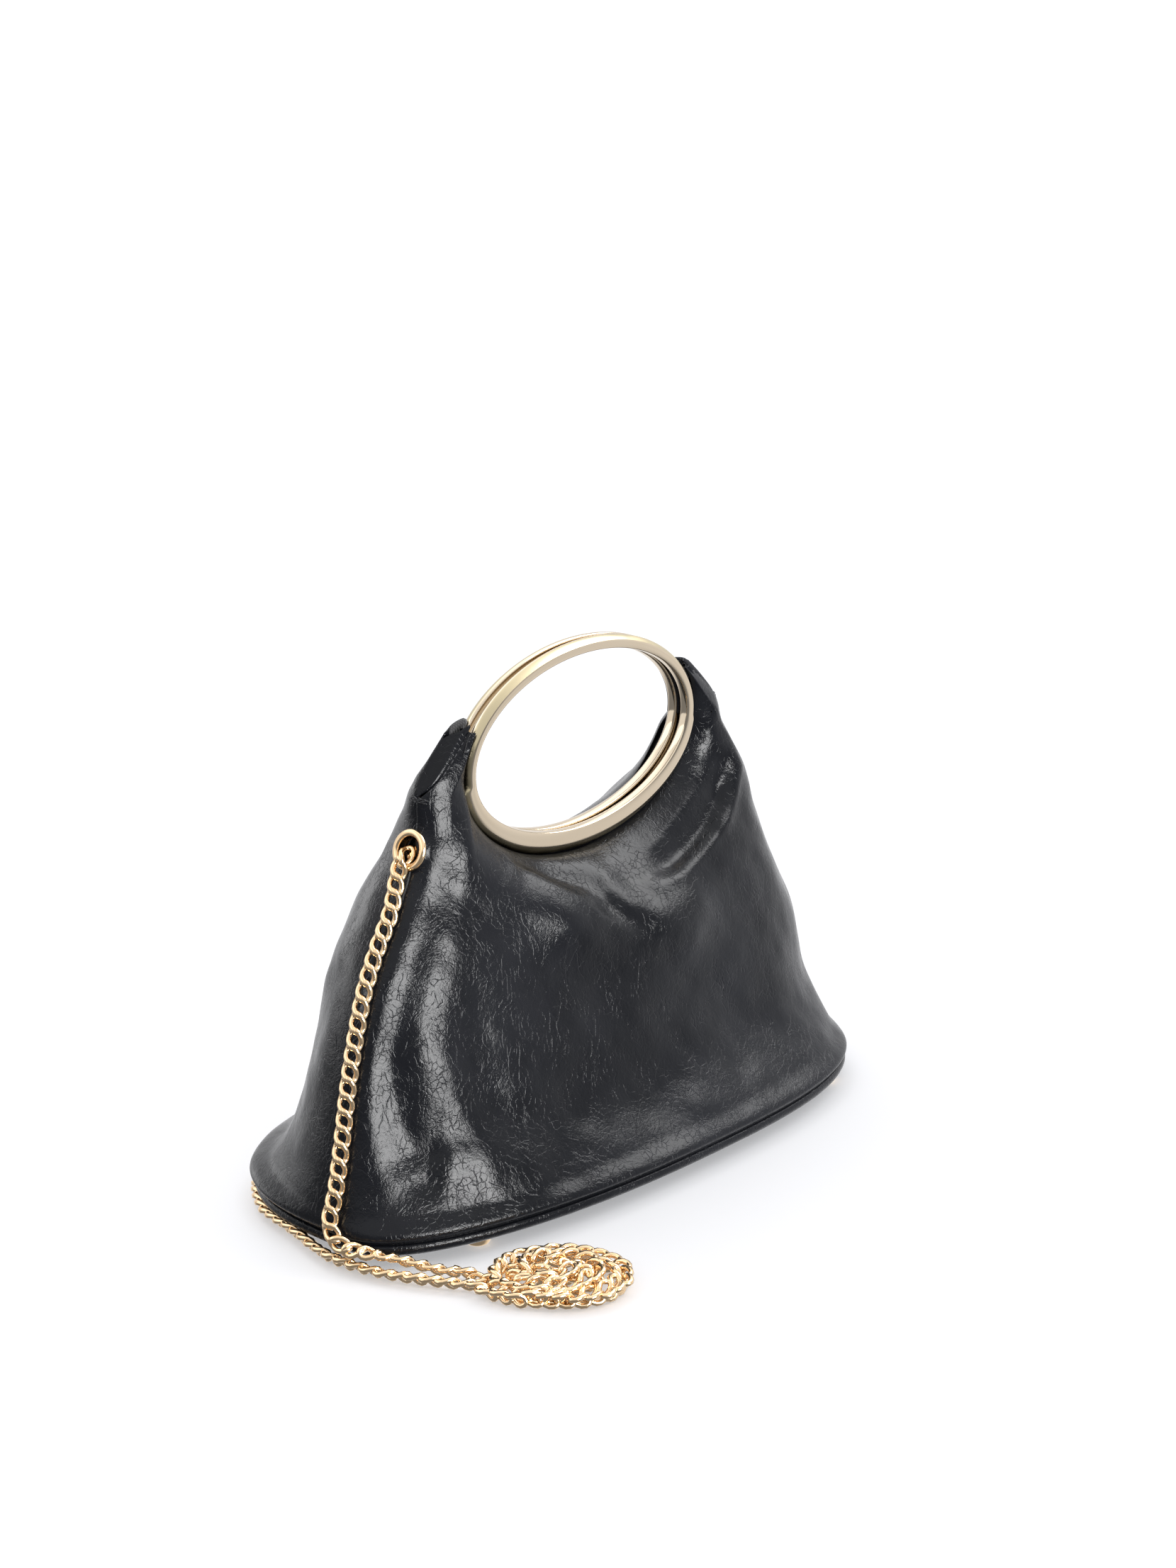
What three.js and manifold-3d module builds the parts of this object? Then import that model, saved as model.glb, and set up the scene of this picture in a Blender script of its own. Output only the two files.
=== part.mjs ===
// Ring-handled leather bag with a chain, in millimetres.
// +Z is up, the front faces -Y, and the photo's left is -X.
import * as THREE from "three";
import { mergeVertices } from "three/addons/utils/BufferGeometryUtils.js";
import Module from "manifold-3d";

const wasm = await Module();
wasm.setup();

// Leather sizes
const WALL = 1.8;
const GAP = 0.3;
const FOOT_HEIGHT = 3;
const SLIT_HALF = 1.3;
const SEAM_TOP_LEFT = 131;
const SEAM_TOP_RIGHT = 130;
const SLIT_RISE = 4;
const SEAM_STEP = 3;
const SHOULDER_START = 0.56;
const EDGE_DEPTH = 3.7;
const SHOULDER_FALL = { front: 1.15, back: 1.8 };

// Ring sizes: an oval, slim at the top and thick at the bottom
const RING = {
  halfWidth: 54.6, halfHeight: 33.8, middle: 131, depth: 3.6, apart: 1.6,
  thinWidth: 4.2, thickWidth: 7.4, swell: 1.4, slitLeft: 1.9, slitRight: 0.8,
  stepFrom: -0.05, stepTo: -0.12,
};
const RING_STEPS = 48;
const RING_CORNERS = 8;
const RING_ROUND = 2.8;
const SCOOP_FROM = THREE.MathUtils.degToRad(150);
const SCOOP_TO = THREE.MathUtils.degToRad(390);
const SCOOP_GAP = 0.4;
const HORN_TOP = 148;
const HORN_SHARE = 0.056;

// Body sections, bottom to top: half-lengths each way, depth fore and aft of the middle, each side seam's
// place fore and aft, and how square the front's left and right halves and the back are
const SECTION_COLUMNS = [
  "height", "left", "right", "front", "back",
  "seamLeft", "seamRight", "squareLeft", "squareRight", "squareBack",
];
const SECTION_ROWS = [
  [8.3, 121.3, 109.0, 54.4, 60.0, -16.0, 5.0, 2.25, 2.9, 3.0],
  [11, 123.4, 109.8, 55.6, 61.8, -16.0, 5.0, 2.25, 2.9, 3.0],
  [16, 121.6, 107.6, 50.4, 55.8, -15.5, 6.0, 2.2, 2.8, 2.55],
  [32, 116.0, 105.0, 39.0, 50.8, -13.5, 8.0, 2.1, 2.6, 2.25],
  [55, 108.5, 102.2, 32.2, 51.0, -10.5, 10.0, 2.05, 2.6, 2.1],
  [80, 97.5, 92.8, 25.5, 51.0, -7.0, 11.0, 2.0, 2.6, 2.0],
  [98, 84.5, 84.5, 21.5, 45.0, -4.5, 11.0, 2.05, 2.7, 2.0],
  [107, 78.0, 80.5, 19.0, 40.0, -3.0, 10.0, 2.1, 2.8, 2.05],
  [122, 72.2, 72.6, 16.0, 31.0, -1.0, 8.0, 2.1, 2.6, 2.1],
  [131, 70.4, 68.0, 14.0, 25.0, 0.0, 2.5, 2.1, 2.4, 2.1],
  [140, 63.2, 61.2, 12.0, 15.0, 0.0, 1.0, 2.1, 2.3, 2.1],
  [148, 55.0, 54.0, 9.0, 7.0, 0.0, 0.0, 2.1, 2.2, 2.1],
];
const namedRow = (row) => Object.fromEntries(SECTION_COLUMNS.map((key, i) => [key, row[i]]));
const SECTIONS = SECTION_ROWS.map(namedRow);
const LOW_ROWS = [8.3, 9.6, 11.2, 13.6, 17, 23, 31, 40];
const MID_ROWS = 8;
const SHOULDER_ROWS = 6;
const COLUMNS = 36;
const LOW_SQUARE = 2.7;
const REACH_BLEND = 1.3;
const SEAM_CALM = 8;
const BASE_CALM = 14;
const MERGE = 1e-3;

// Folds and dents: a line from one end to the other, how wide, and how far out or in
const FRONT = -1;
const BACK = 1;
const FOLDS = [
  { side: FRONT, x0: -60, z0: 112, x1: -30, z1: 88, width: 10, out: 4 },
  { side: FRONT, x0: -30, z0: 88, x1: 22, z1: 72, width: 11, out: 4 },
  { side: FRONT, x0: 8, z0: 95, x1: 42, z1: 114, width: 10, out: -5 },
  { side: FRONT, x0: -72, z0: 92, x1: -80, z1: 34, width: 9, out: -3 },
  { side: FRONT, x0: -50, z0: 80, x1: -50, z1: 26, width: 15, out: 4 },
  { side: FRONT, x0: 20, z0: 48, x1: 50, z1: 34, width: 14, out: -2 },
  { side: BACK, x0: -40, z0: 96, x1: 40, z1: 96, width: 12, out: -3 },
  { side: BACK, x0: 0, z0: 96, x1: 46, z1: 122, width: 16, out: -12 },
  { side: BACK, x0: -70, z0: 70, x1: -80, z1: 28, width: 14, out: -3 },
  { side: BACK, x0: 72, z0: 74, x1: 84, z1: 30, width: 14, out: -3 },
];

// Base tray profile: height and how far in from the tray's widest line
const BASE_WIDE = {
  left: 122.5, right: 110.2, front: 55.6, back: 61.2, seamLeft: -16, seamRight: 5,
  squareLeft: 2.25, squareRight: 2.9, squareBack: 3.0,
};
const BASE_OUTER = [
  { height: 3, inset: 8 },
  { height: 3.4, inset: 4.6 },
  { height: 4.5, inset: 1.8 },
  { height: 6.2, inset: 0.5 },
  { height: 8, inset: 1.2 },
];
const BASE_INNER = [
  { height: 8, inset: 3.0 },
  { height: 6.4, inset: 3.2 },
  { height: 5.2, inset: 5.2 },
  { height: 4.8, inset: 9 },
];
const BASE_STEPS = 52;

// Metal pieces
const EYELET = {
  height: 114.5, outer: 6.5, barrel: 4.2, bore: 3.4, thick: 1.6, lift: 0.8, reach: 3,
  chamfer: 0.3, belly: 0.7, crest: 1,
};
const EYELET_CUT = { radius: 4.6, length: 16 };
const EYELET_SIDES = 20;
const FOOT = { radius: 4.2, x: 84, front: 36, back: 38, flat: 3, chamfer: 0.3, curve: 0.7, belly: 1.6 };
const FOOT_SIDES = 16;

// Chain: an outer tube, the way it hangs, and where it lies on the floor
const CHAIN_RADIUS = 1.9;
const CHAIN_SIDES = 8;
const CHAIN_OFF = 3.1;
const CHAIN_ROUND = -1.6;
const CHAIN_REST = 2.1;
const CHAIN_STEP = 9;
const CHAIN_DROPS = [-1, 3.5, 8];
const HANG_HEIGHTS = [97, 88, 78, 66, 52, 36, 22, 13];
const COIL = { x: -90, y: -74, wide: 22.8, deep: 18.4, height: 5, edge: 1.6, turn: -48 };
const COIL_SIDES = 28;
const LEFT_FLOOR = [
  { x: -126.0, y: -21, z: 8.8 },
  { x: -122.6, y: -28.5, z: 7.8 },
  { x: -115.5, y: -37, z: 5.2 },
  { x: -109.8, y: -45, z: 3.1 },
  { x: -104.0, y: -55.3, z: 2.1 },
];
const RIGHT_FLOOR = [
  { x: -124.6, y: -14, z: 2.1 },
  { x: -124.0, y: -23, z: 2.1 },
  { x: -121.8, y: -33, z: 2.1 },
  { x: -118.2, y: -42, z: 2.1 },
  { x: -113.8, y: -51, z: 2.1 },
  { x: -109.3, y: -59.9, z: 2.1 },
];
const LANDING = { near: 2, high: 6.5, far: 9, low: 2.6 };
const ROUND_STEPS = 11;
const ROUND_FROM = 0.3;
const ROUND_TO = 3.0;

// Smooth value of one column of the section table at a height
function sectionValue(key, height) {
  const last = SECTIONS.length - 1;
  let i = 0;
  while (i < last - 1 && height > SECTIONS[i + 1].height) i += 1;
  const slope = (j) => {
    const a = SECTIONS[Math.max(j - 1, 0)];
    const b = SECTIONS[Math.min(j + 1, last)];
    return (b[key] - a[key]) / (b.height - a.height);
  };
  const low = SECTIONS[i];
  const high = SECTIONS[i + 1];
  const span = high.height - low.height;
  const t = THREE.MathUtils.clamp((height - low.height) / span, 0, 1);
  const t2 = t * t;
  const t3 = t2 * t;
  const ends = low[key] * (2 * t3 - 3 * t2 + 1) + high[key] * (3 * t2 - 2 * t3);
  return ends + span * (slope(i) * (t3 - 2 * t2 + t) + slope(i + 1) * (t3 - t2));
}

// Half-length on the side that x lies on
function halfLength(height, sign) {
  return sectionValue(sign < 0 ? "left" : "right", height);
}

// How square a quarter of a section is
function squareness(side, height, sign) {
  if (side === BACK) return sectionValue("squareBack", height);
  return sectionValue(sign < 0 ? "squareLeft" : "squareRight", height);
}

// Middle line of a section, which runs from one side seam to the other
function seamLine(height, reach) {
  const share = (reach + 1) / 2;
  return THREE.MathUtils.lerp(sectionValue("seamLeft", height), sectionValue("seamRight", height), share);
}

// Half the opening between the two panels' edges at the side
function edgeOpening(height, sign) {
  const top = sign < 0 ? SEAM_TOP_LEFT : SEAM_TOP_RIGHT;
  const t = THREE.MathUtils.clamp((height - top) / SLIT_RISE, 0, 1);
  return THREE.MathUtils.lerp(GAP / 2, SLIT_HALF, t * t * (3 - 2 * t));
}

// Point of the oval at an angle, moved outwards by a distance
function ovalPoint(angle, out) {
  const x = RING.halfWidth * Math.cos(angle);
  const z = RING.halfHeight * Math.sin(angle);
  const nx = x / RING.halfWidth ** 2;
  const nz = z / RING.halfHeight ** 2;
  const size = Math.hypot(nx, nz);
  return { x: x + (nx / size) * out, z: RING.middle + z + (nz / size) * out };
}

// Upper edge of a panel: a blunt horn, the scoop under the ring, and the other horn
function upperEdge(u) {
  const share = THREE.MathUtils.clamp((u - HORN_SHARE) / (1 - 2 * HORN_SHARE), 0, 1);
  const scoop = ovalPoint(THREE.MathUtils.lerp(SCOOP_FROM, SCOOP_TO, share), SCOOP_GAP);
  const near = Math.min(u, 1 - u) / HORN_SHARE;
  if (near >= 1) return scoop;
  const sign = u < 0.5 ? -1 : 1;
  const horn = { x: sign * halfLength(HORN_TOP, sign), z: HORN_TOP };
  return { x: THREE.MathUtils.lerp(horn.x, scoop.x, near), z: THREE.MathUtils.lerp(horn.z, scoop.z, near) };
}

// Sum of the folds at a place on a panel
function foldOut(side, x, z) {
  let sum = 0;
  for (const fold of FOLDS) {
    if (fold.side !== side) continue;
    const dx = fold.x1 - fold.x0;
    const dz = fold.z1 - fold.z0;
    const along = ((x - fold.x0) * dx + (z - fold.z0) * dz) / (dx * dx + dz * dz);
    const t = THREE.MathUtils.clamp(along, 0, 1);
    const away = Math.hypot(x - fold.x0 - t * dx, z - fold.z0 - t * dz);
    sum += fold.out * Math.exp(-((away / fold.width) ** 2));
  }
  return sum;
}

// Rows of a panel from the base to the upper edge, as a share of the way above the low rows
function panelRows() {
  const rows = LOW_ROWS.map((height) => ({ height, share: 0, bend: 0 }));
  for (let k = 1; k <= MID_ROWS; k += 1) rows.push({ share: (SHOULDER_START * k) / MID_ROWS, bend: 0 });
  for (let k = 1; k <= SHOULDER_ROWS; k += 1) {
    const bend = (k / SHOULDER_ROWS) * (Math.PI / 2);
    rows.push({ share: SHOULDER_START + (1 - SHOULDER_START) * Math.sin(bend), bend });
  }
  return rows;
}

// Point on the outer face of a panel
function panelPoint(side, u, row) {
  const top = upperEdge(u);
  const low = LOW_ROWS[LOW_ROWS.length - 1];
  const height = row.share === 0 ? row.height : THREE.MathUtils.lerp(low, top.z, row.share);
  const turn = Math.PI * u;
  const cosine = u === 0.5 ? 0 : Math.cos(turn);
  const lowReach = -Math.sign(cosine) * Math.abs(cosine) ** (2 / LOW_SQUARE);
  const topSign = top.x < 0 ? -1 : 1;
  const topReach = top.x / halfLength(top.z, topSign);
  const blend = row.share ** REACH_BLEND;
  const reach = THREE.MathUtils.clamp(THREE.MathUtils.lerp(lowReach, topReach, blend), -1, 1);
  const sign = reach < 0 ? -1 : 1;
  const square = squareness(side, height, sign);
  const x = reach * halfLength(height, sign);
  const seam = seamLine(height, reach);
  const opening = edgeOpening(height, sign);
  const full = sectionValue(side === FRONT ? "front" : "back", height) + side * -seam;
  const crown = (1 - Math.abs(reach) ** square) ** (1 / square);
  const nearBase = Math.min(1, (height - LOW_ROWS[0]) / BASE_CALM);
  const calm = (1 - Math.abs(reach) ** SEAM_CALM) * Math.cos(row.bend) * nearBase;
  const depth = opening + (full - opening) * crown + foldOut(side, x, height) * calm;
  const y = seam + side * depth;
  const horn = Math.min(1, Math.min(u, 1 - u) / HORN_SHARE);
  const edge = seam + side * THREE.MathUtils.lerp(opening, EDGE_DEPTH, horn);
  const fall = Math.cos(row.bend) ** (side === FRONT ? SHOULDER_FALL.front : SHOULDER_FALL.back);
  const bent = edge + (y - edge) * fall;
  return new THREE.Vector3(x, row.bend > 0 ? bent : y, height);
}

// Closed wall from a grid of outer points: the inner face lies a wall's thickness behind it
function wallFromGrid(grid, flip, tidy) {
  const rows = grid.length;
  const columns = grid[0].length;
  const clampIndex = (value, top) => Math.max(0, Math.min(top, value));
  const inner = grid.map((line, j) =>
    line.map((point, i) => {
      const right = grid[j][clampIndex(i + 1, columns - 1)];
      const left = grid[j][clampIndex(i - 1, columns - 1)];
      const up = grid[clampIndex(j + 1, rows - 1)][i];
      const down = grid[clampIndex(j - 1, rows - 1)][i];
      const across = right.clone().sub(left);
      const upward = up.clone().sub(down);
      const normal = across.cross(upward).normalize().multiplyScalar(flip);
      return tidy(point.clone().addScaledVector(normal, -WALL), point, i, j);
    }),
  );
  const positions = [];
  for (const p of [...grid, ...inner].flat()) positions.push(p.x, p.y, p.z);
  const index = [];
  const at = (layer, j, i) => layer * rows * columns + j * columns + i;
  const quad = (a, b, c, d) => {
    if (flip > 0) index.push(a, b, c, a, c, d);
    else index.push(a, c, b, a, d, c);
  };
  for (let j = 0; j < rows - 1; j += 1) {
    for (let i = 0; i < columns - 1; i += 1) {
      quad(at(0, j, i), at(0, j, i + 1), at(0, j + 1, i + 1), at(0, j + 1, i));
      quad(at(1, j, i), at(1, j + 1, i), at(1, j + 1, i + 1), at(1, j, i + 1));
    }
  }
  for (let i = 0; i < columns - 1; i += 1) {
    quad(at(0, 0, i), at(1, 0, i), at(1, 0, i + 1), at(0, 0, i + 1));
    quad(at(0, rows - 1, i), at(0, rows - 1, i + 1), at(1, rows - 1, i + 1), at(1, rows - 1, i));
  }
  for (let j = 0; j < rows - 1; j += 1) {
    quad(at(0, j, 0), at(0, j + 1, 0), at(1, j + 1, 0), at(1, j, 0));
    const end = columns - 1;
    quad(at(0, j, end), at(1, j, end), at(1, j + 1, end), at(0, j + 1, end));
  }
  return meshData(positions, index);
}

function meshData(positions, index) {
  const geometry = new THREE.BufferGeometry();
  geometry.setAttribute("position", new THREE.Float32BufferAttribute(positions, 3));
  geometry.setIndex(index);
  return geometry;
}

function panelGeometry(side) {
  const grid = panelRows().map((row) => {
    const line = [];
    for (let i = 0; i <= COLUMNS; i += 1) line.push(panelPoint(side, i / COLUMNS, row));
    return line;
  });
  const keepSide = (point, outer, i, j) => {
    const sign = outer.x < 0 ? -1 : 1;
    const reach = outer.x / halfLength(outer.z, sign);
    const least = seamLine(outer.z, reach) + side * edgeOpening(outer.z, sign);
    point.y = side === FRONT ? Math.min(point.y, least) : Math.max(point.y, least);
    if (j === 0) point.z = outer.z;
    return point;
  };
  return wallFromGrid(grid, side === FRONT ? 1 : -1, keepSide);
}

// Solid and geometry, each from the other, for cutting holes
function solidOf(geometry) {
  const plain = geometry.clone();
  plain.deleteAttribute("normal");
  plain.deleteAttribute("uv");
  const merged = mergeVertices(plain, MERGE);
  const triVerts = new Uint32Array(merged.index.array);
  const vertProperties = merged.attributes.position.array;
  return new wasm.Manifold(new wasm.Mesh({ numProp: 3, vertProperties, triVerts }));
}

function geometryOf(solid) {
  const mesh = solid.getMesh();
  const positions = [];
  for (let i = 0; i < mesh.numVert; i += 1) {
    for (let k = 0; k < 3; k += 1) positions.push(mesh.vertProperties[i * mesh.numProp + k]);
  }
  return meshData(positions, Array.from(mesh.triVerts));
}

// Place and outward direction of a point on the side seam
function seamFrame(sign, height) {
  const rise = halfLength(height + SEAM_STEP, sign) - halfLength(height - SEAM_STEP, sign);
  const slope = rise / (2 * SEAM_STEP);
  const out = new THREE.Vector3(sign, 0, -slope).normalize();
  const place = new THREE.Vector3(sign * halfLength(height, sign), seamLine(height, sign), height);
  return { place, out };
}

function turnTo(geometry, place, out) {
  const spin = new THREE.Quaternion().setFromUnitVectors(new THREE.Vector3(0, 1, 0), out);
  geometry.applyQuaternion(spin);
  geometry.translate(place.x, place.y, place.z);
  return geometry;
}

// Panel with the eyelets' holes, and with room for its ring
function cutPanel(side) {
  let solid = solidOf(panelGeometry(side)).subtract(solidOf(ringGeometry(side, GAP)));
  for (const sign of [-1, 1]) {
    const { place, out } = seamFrame(sign, EYELET.height);
    const { radius, length } = EYELET_CUT;
    const plug = turnTo(new THREE.CylinderGeometry(radius, radius, length, EYELET_SIDES), place, out);
    solid = solid.subtract(solidOf(plug));
  }
  return geometryOf(solid);
}

function eyeletGeometry(sign) {
  const { place, out } = seamFrame(sign, EYELET.height);
  const low = EYELET.lift;
  const high = EYELET.lift + EYELET.thick;
  const profile = [
    [EYELET.bore, -EYELET.reach],
    [EYELET.barrel, -EYELET.reach],
    [EYELET.barrel, low],
    [EYELET.outer - EYELET.chamfer, low],
    [EYELET.outer, low + EYELET.belly],
    [EYELET.outer - EYELET.crest, high],
    [EYELET.barrel, high],
    [EYELET.bore, low + EYELET.belly],
    [EYELET.bore, -EYELET.reach],
  ];
  const points = profile.map(([radius, height]) => new THREE.Vector2(radius, height));
  return turnTo(new THREE.LatheGeometry(points, EYELET_SIDES), place, out);
}

function footGeometry(x, y) {
  const top = FOOT_HEIGHT - GAP;
  const profile = [
    [0, 0],
    [FOOT.flat, 0],
    [FOOT.radius - FOOT.chamfer, FOOT.curve],
    [FOOT.radius, FOOT.belly],
    [FOOT.radius, top],
    [0, top],
  ];
  const points = profile.map(([radius, height]) => new THREE.Vector2(radius, height));
  return new THREE.LatheGeometry(points, FOOT_SIDES).rotateX(Math.PI / 2).translate(x, y, 0);
}

// Oval ring: a rounded section that grows towards the bottom, and steps in above the leather's hold
function ringGeometry(side, grow) {
  const middle = side * (RING.apart / 2 + RING.depth / 2);
  const positions = [];
  const index = [];
  for (let i = 0; i < RING_STEPS; i += 1) {
    const angle = (i / RING_STEPS) * 2 * Math.PI;
    const low = (1 - Math.sin(angle)) / 2;
    const inner = THREE.MathUtils.lerp(RING.thinWidth, RING.thickWidth, low ** RING.swell);
    const thin = THREE.MathUtils.smoothstep(Math.sin(angle), RING.stepTo, RING.stepFrom);
    const slit = Math.cos(angle) < 0 ? RING.slitLeft : RING.slitRight;
    const outer = slit * thin * (1 - Math.max(0, Math.sin(angle)));
    for (let k = 0; k < RING_CORNERS; k += 1) {
      const turn = ((k + 0.5) / RING_CORNERS) * 2 * Math.PI;
      const power = Math.abs(Math.cos(turn)) ** RING_ROUND + Math.abs(Math.sin(turn)) ** RING_ROUND;
      const round = power ** (-1 / RING_ROUND);
      const half = (inner - outer) / 2 + grow;
      const p = ovalPoint(angle, -(inner + outer) / 2 + half * Math.cos(turn) * round);
      positions.push(p.x, middle + (RING.depth / 2 + grow) * Math.sin(turn) * round, p.z);
    }
  }
  for (let i = 0; i < RING_STEPS; i += 1) {
    for (let k = 0; k < RING_CORNERS; k += 1) {
      const a = i * RING_CORNERS + k;
      const b = i * RING_CORNERS + ((k + 1) % RING_CORNERS);
      const c = ((i + 1) % RING_STEPS) * RING_CORNERS + ((k + 1) % RING_CORNERS);
      const d = ((i + 1) % RING_STEPS) * RING_CORNERS + k;
      index.push(a, b, c, a, c, d);
    }
  }
  return meshData(positions, index);
}

// Point on the base's outline at a turn from the right end, moved out by a distance
function baseOutline(turn, out) {
  const half = (Math.cos(turn) < 0 ? BASE_WIDE.left : BASE_WIDE.right) + out;
  const back = Math.sin(turn) > 0;
  const front = Math.cos(turn) < 0 ? BASE_WIDE.squareLeft : BASE_WIDE.squareRight;
  const power = 2 / (back ? BASE_WIDE.squareBack : front);
  const reach = Math.sign(Math.cos(turn)) * Math.abs(Math.cos(turn)) ** power;
  const seam = THREE.MathUtils.lerp(BASE_WIDE.seamLeft, BASE_WIDE.seamRight, (reach + 1) / 2);
  const depth = (back ? BASE_WIDE.back - seam : BASE_WIDE.front + seam) + out;
  const y = seam + depth * Math.sign(Math.sin(turn)) * Math.abs(Math.sin(turn)) ** power;
  return { x: reach * half, y };
}

function baseGeometry() {
  const rings = [...BASE_OUTER, ...BASE_INNER];
  const positions = [0, 0, BASE_OUTER[0].height];
  for (const ring of rings) {
    for (let i = 0; i < BASE_STEPS; i += 1) {
      const p = baseOutline((i / BASE_STEPS) * 2 * Math.PI, -ring.inset);
      positions.push(p.x, p.y, ring.height);
    }
  }
  positions.push(0, 0, BASE_INNER[BASE_INNER.length - 1].height);
  const last = positions.length / 3 - 1;
  const index = [];
  for (let i = 0; i < BASE_STEPS; i += 1) {
    const next = (i + 1) % BASE_STEPS;
    index.push(0, 1 + next, 1 + i);
    for (let r = 0; r < rings.length - 1; r += 1) {
      const a = 1 + r * BASE_STEPS;
      const b = a + BASE_STEPS;
      index.push(a + i, a + next, b + next, a + i, b + next, b + i);
    }
    const end = 1 + (rings.length - 1) * BASE_STEPS;
    index.push(last, end + i, end + next);
  }
  return meshData(positions, index);
}

// Points of the chain from the eyelet's mouth, over its rim and down the side
function hangPoints(sign) {
  const { place, out } = seamFrame(sign, EYELET.height);
  const down = new THREE.Vector3(0, 1, 0).cross(out).multiplyScalar(sign);
  const mouth = EYELET.lift + EYELET.thick + CHAIN_RADIUS + 2 * GAP;
  const points = [];
  for (const drop of CHAIN_DROPS) {
    points.push(place.clone().addScaledVector(out, mouth).addScaledVector(down, drop));
  }
  for (const height of HANG_HEIGHTS) {
    const frame = seamFrame(sign, height);
    points.push(frame.place.clone().addScaledVector(frame.out, CHAIN_OFF));
  }
  return points;
}

function floorPoints(rows) {
  return rows.map((row) => new THREE.Vector3(row.x, row.y, row.z));
}

function leftRoute() {
  return [...hangPoints(-1), ...floorPoints(LEFT_FLOOR)];
}

function rightRoute() {
  const round = [];
  for (let i = 0; i <= ROUND_STEPS; i += 1) {
    const turn = THREE.MathUtils.lerp(ROUND_FROM, ROUND_TO, i / ROUND_STEPS);
    const p = baseOutline(turn, CHAIN_ROUND);
    round.push(new THREE.Vector3(p.x, p.y, CHAIN_REST));
  }
  const hang = hangPoints(1);
  const last = hang[hang.length - 1];
  const land = [
    new THREE.Vector3(last.x, last.y + LANDING.near, LANDING.high),
    new THREE.Vector3(last.x, last.y + LANDING.far, LANDING.low),
  ];
  return [...hang, ...land, ...round, ...floorPoints(RIGHT_FLOOR)];
}

function chainGeometry(points) {
  const route = new THREE.CatmullRomCurve3(points, false, "centripetal");
  const section = new THREE.Shape();
  for (let k = 0; k < CHAIN_SIDES; k += 1) {
    const turn = (k / CHAIN_SIDES) * 2 * Math.PI;
    const x = CHAIN_RADIUS * Math.cos(turn);
    const y = CHAIN_RADIUS * Math.sin(turn);
    if (k === 0) section.moveTo(x, y);
    else section.lineTo(x, y);
  }
  section.closePath();
  const steps = Math.round(route.getLength() / CHAIN_STEP);
  return new THREE.ExtrudeGeometry(section, { steps, bevelEnabled: false, extrudePath: route });
}

function coilGeometry() {
  const profile = [
    [0, 0],
    [COIL.wide - COIL.edge, 0],
    [COIL.wide, COIL.edge],
    [COIL.wide, COIL.height - COIL.edge],
    [COIL.wide - COIL.edge, COIL.height],
    [0, COIL.height],
  ];
  const points = profile.map(([radius, height]) => new THREE.Vector2(radius, height));
  const disc = new THREE.LatheGeometry(points, COIL_SIDES).rotateX(Math.PI / 2).scale(1, COIL.deep / COIL.wide, 1);
  return disc.rotateZ(THREE.MathUtils.degToRad(COIL.turn)).translate(COIL.x, COIL.y, 0);
}

const LEATHER = new THREE.MeshStandardMaterial({ color: 0x1c1c1f, roughness: 0.35 });
const RING_METAL = new THREE.MeshStandardMaterial({ color: 0xe0d0b4, roughness: 0.12, metalness: 1 });
const CHAIN_METAL = new THREE.MeshStandardMaterial({ color: 0xd9a765, roughness: 0.18, metalness: 1 });

const part = new THREE.Group();
part.name = "ring_handle_bag";
function add(name, geometry, material) {
  const mesh = new THREE.Mesh(geometry, material);
  mesh.name = name;
  part.add(mesh);
}
add("front_panel", cutPanel(FRONT), LEATHER);
add("back_panel", cutPanel(BACK), LEATHER);
add("base_panel", baseGeometry(), LEATHER);
add("ring_front", ringGeometry(FRONT, 0), RING_METAL);
add("ring_back", ringGeometry(BACK, 0), RING_METAL);
add("eyelet_left", eyeletGeometry(-1), CHAIN_METAL);
add("eyelet_right", eyeletGeometry(1), CHAIN_METAL);
add("foot_front_left", footGeometry(-FOOT.x, -FOOT.front), CHAIN_METAL);
add("foot_front_right", footGeometry(FOOT.x, -FOOT.front), CHAIN_METAL);
add("foot_back_left", footGeometry(-FOOT.x, FOOT.back), CHAIN_METAL);
add("foot_back_right", footGeometry(FOOT.x, FOOT.back), CHAIN_METAL);
add("chain_left", chainGeometry(leftRoute()), CHAIN_METAL);
add("chain_right", chainGeometry(rightRoute()), CHAIN_METAL);
add("chain_coil", coilGeometry(), CHAIN_METAL);

// The part's origin is the middle of its box, on the floor
part.updateMatrixWorld(true);
const box = new THREE.Box3().setFromObject(part);
const middle = box.getCenter(new THREE.Vector3());
part.position.set(-middle.x, -middle.y, -box.min.z);

export default part;
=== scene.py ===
"""Dresses a ring-handled leather bag: folded leather, polished rings, eyelets, feet and a curb chain."""
import math
import bmesh
import bpy
import numpy as np
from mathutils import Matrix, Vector


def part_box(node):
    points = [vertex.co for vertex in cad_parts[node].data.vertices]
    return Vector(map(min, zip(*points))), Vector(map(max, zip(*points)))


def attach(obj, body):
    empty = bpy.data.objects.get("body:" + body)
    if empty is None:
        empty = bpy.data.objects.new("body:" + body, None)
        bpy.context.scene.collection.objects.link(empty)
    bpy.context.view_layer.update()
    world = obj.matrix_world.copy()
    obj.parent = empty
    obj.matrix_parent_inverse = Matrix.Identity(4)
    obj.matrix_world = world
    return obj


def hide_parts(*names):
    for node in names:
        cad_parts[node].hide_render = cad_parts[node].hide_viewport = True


bl_info = {
    "name": "Ring handle bag",
    "version": (1, 0, 0),
    "blender": (4, 5, 0),
    "location": "View3D > Sidebar > Bag",
    "description": "Builds the leather, rings, chain and stage of a ring-handled bag",
    "category": "Add Mesh",
}

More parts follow.
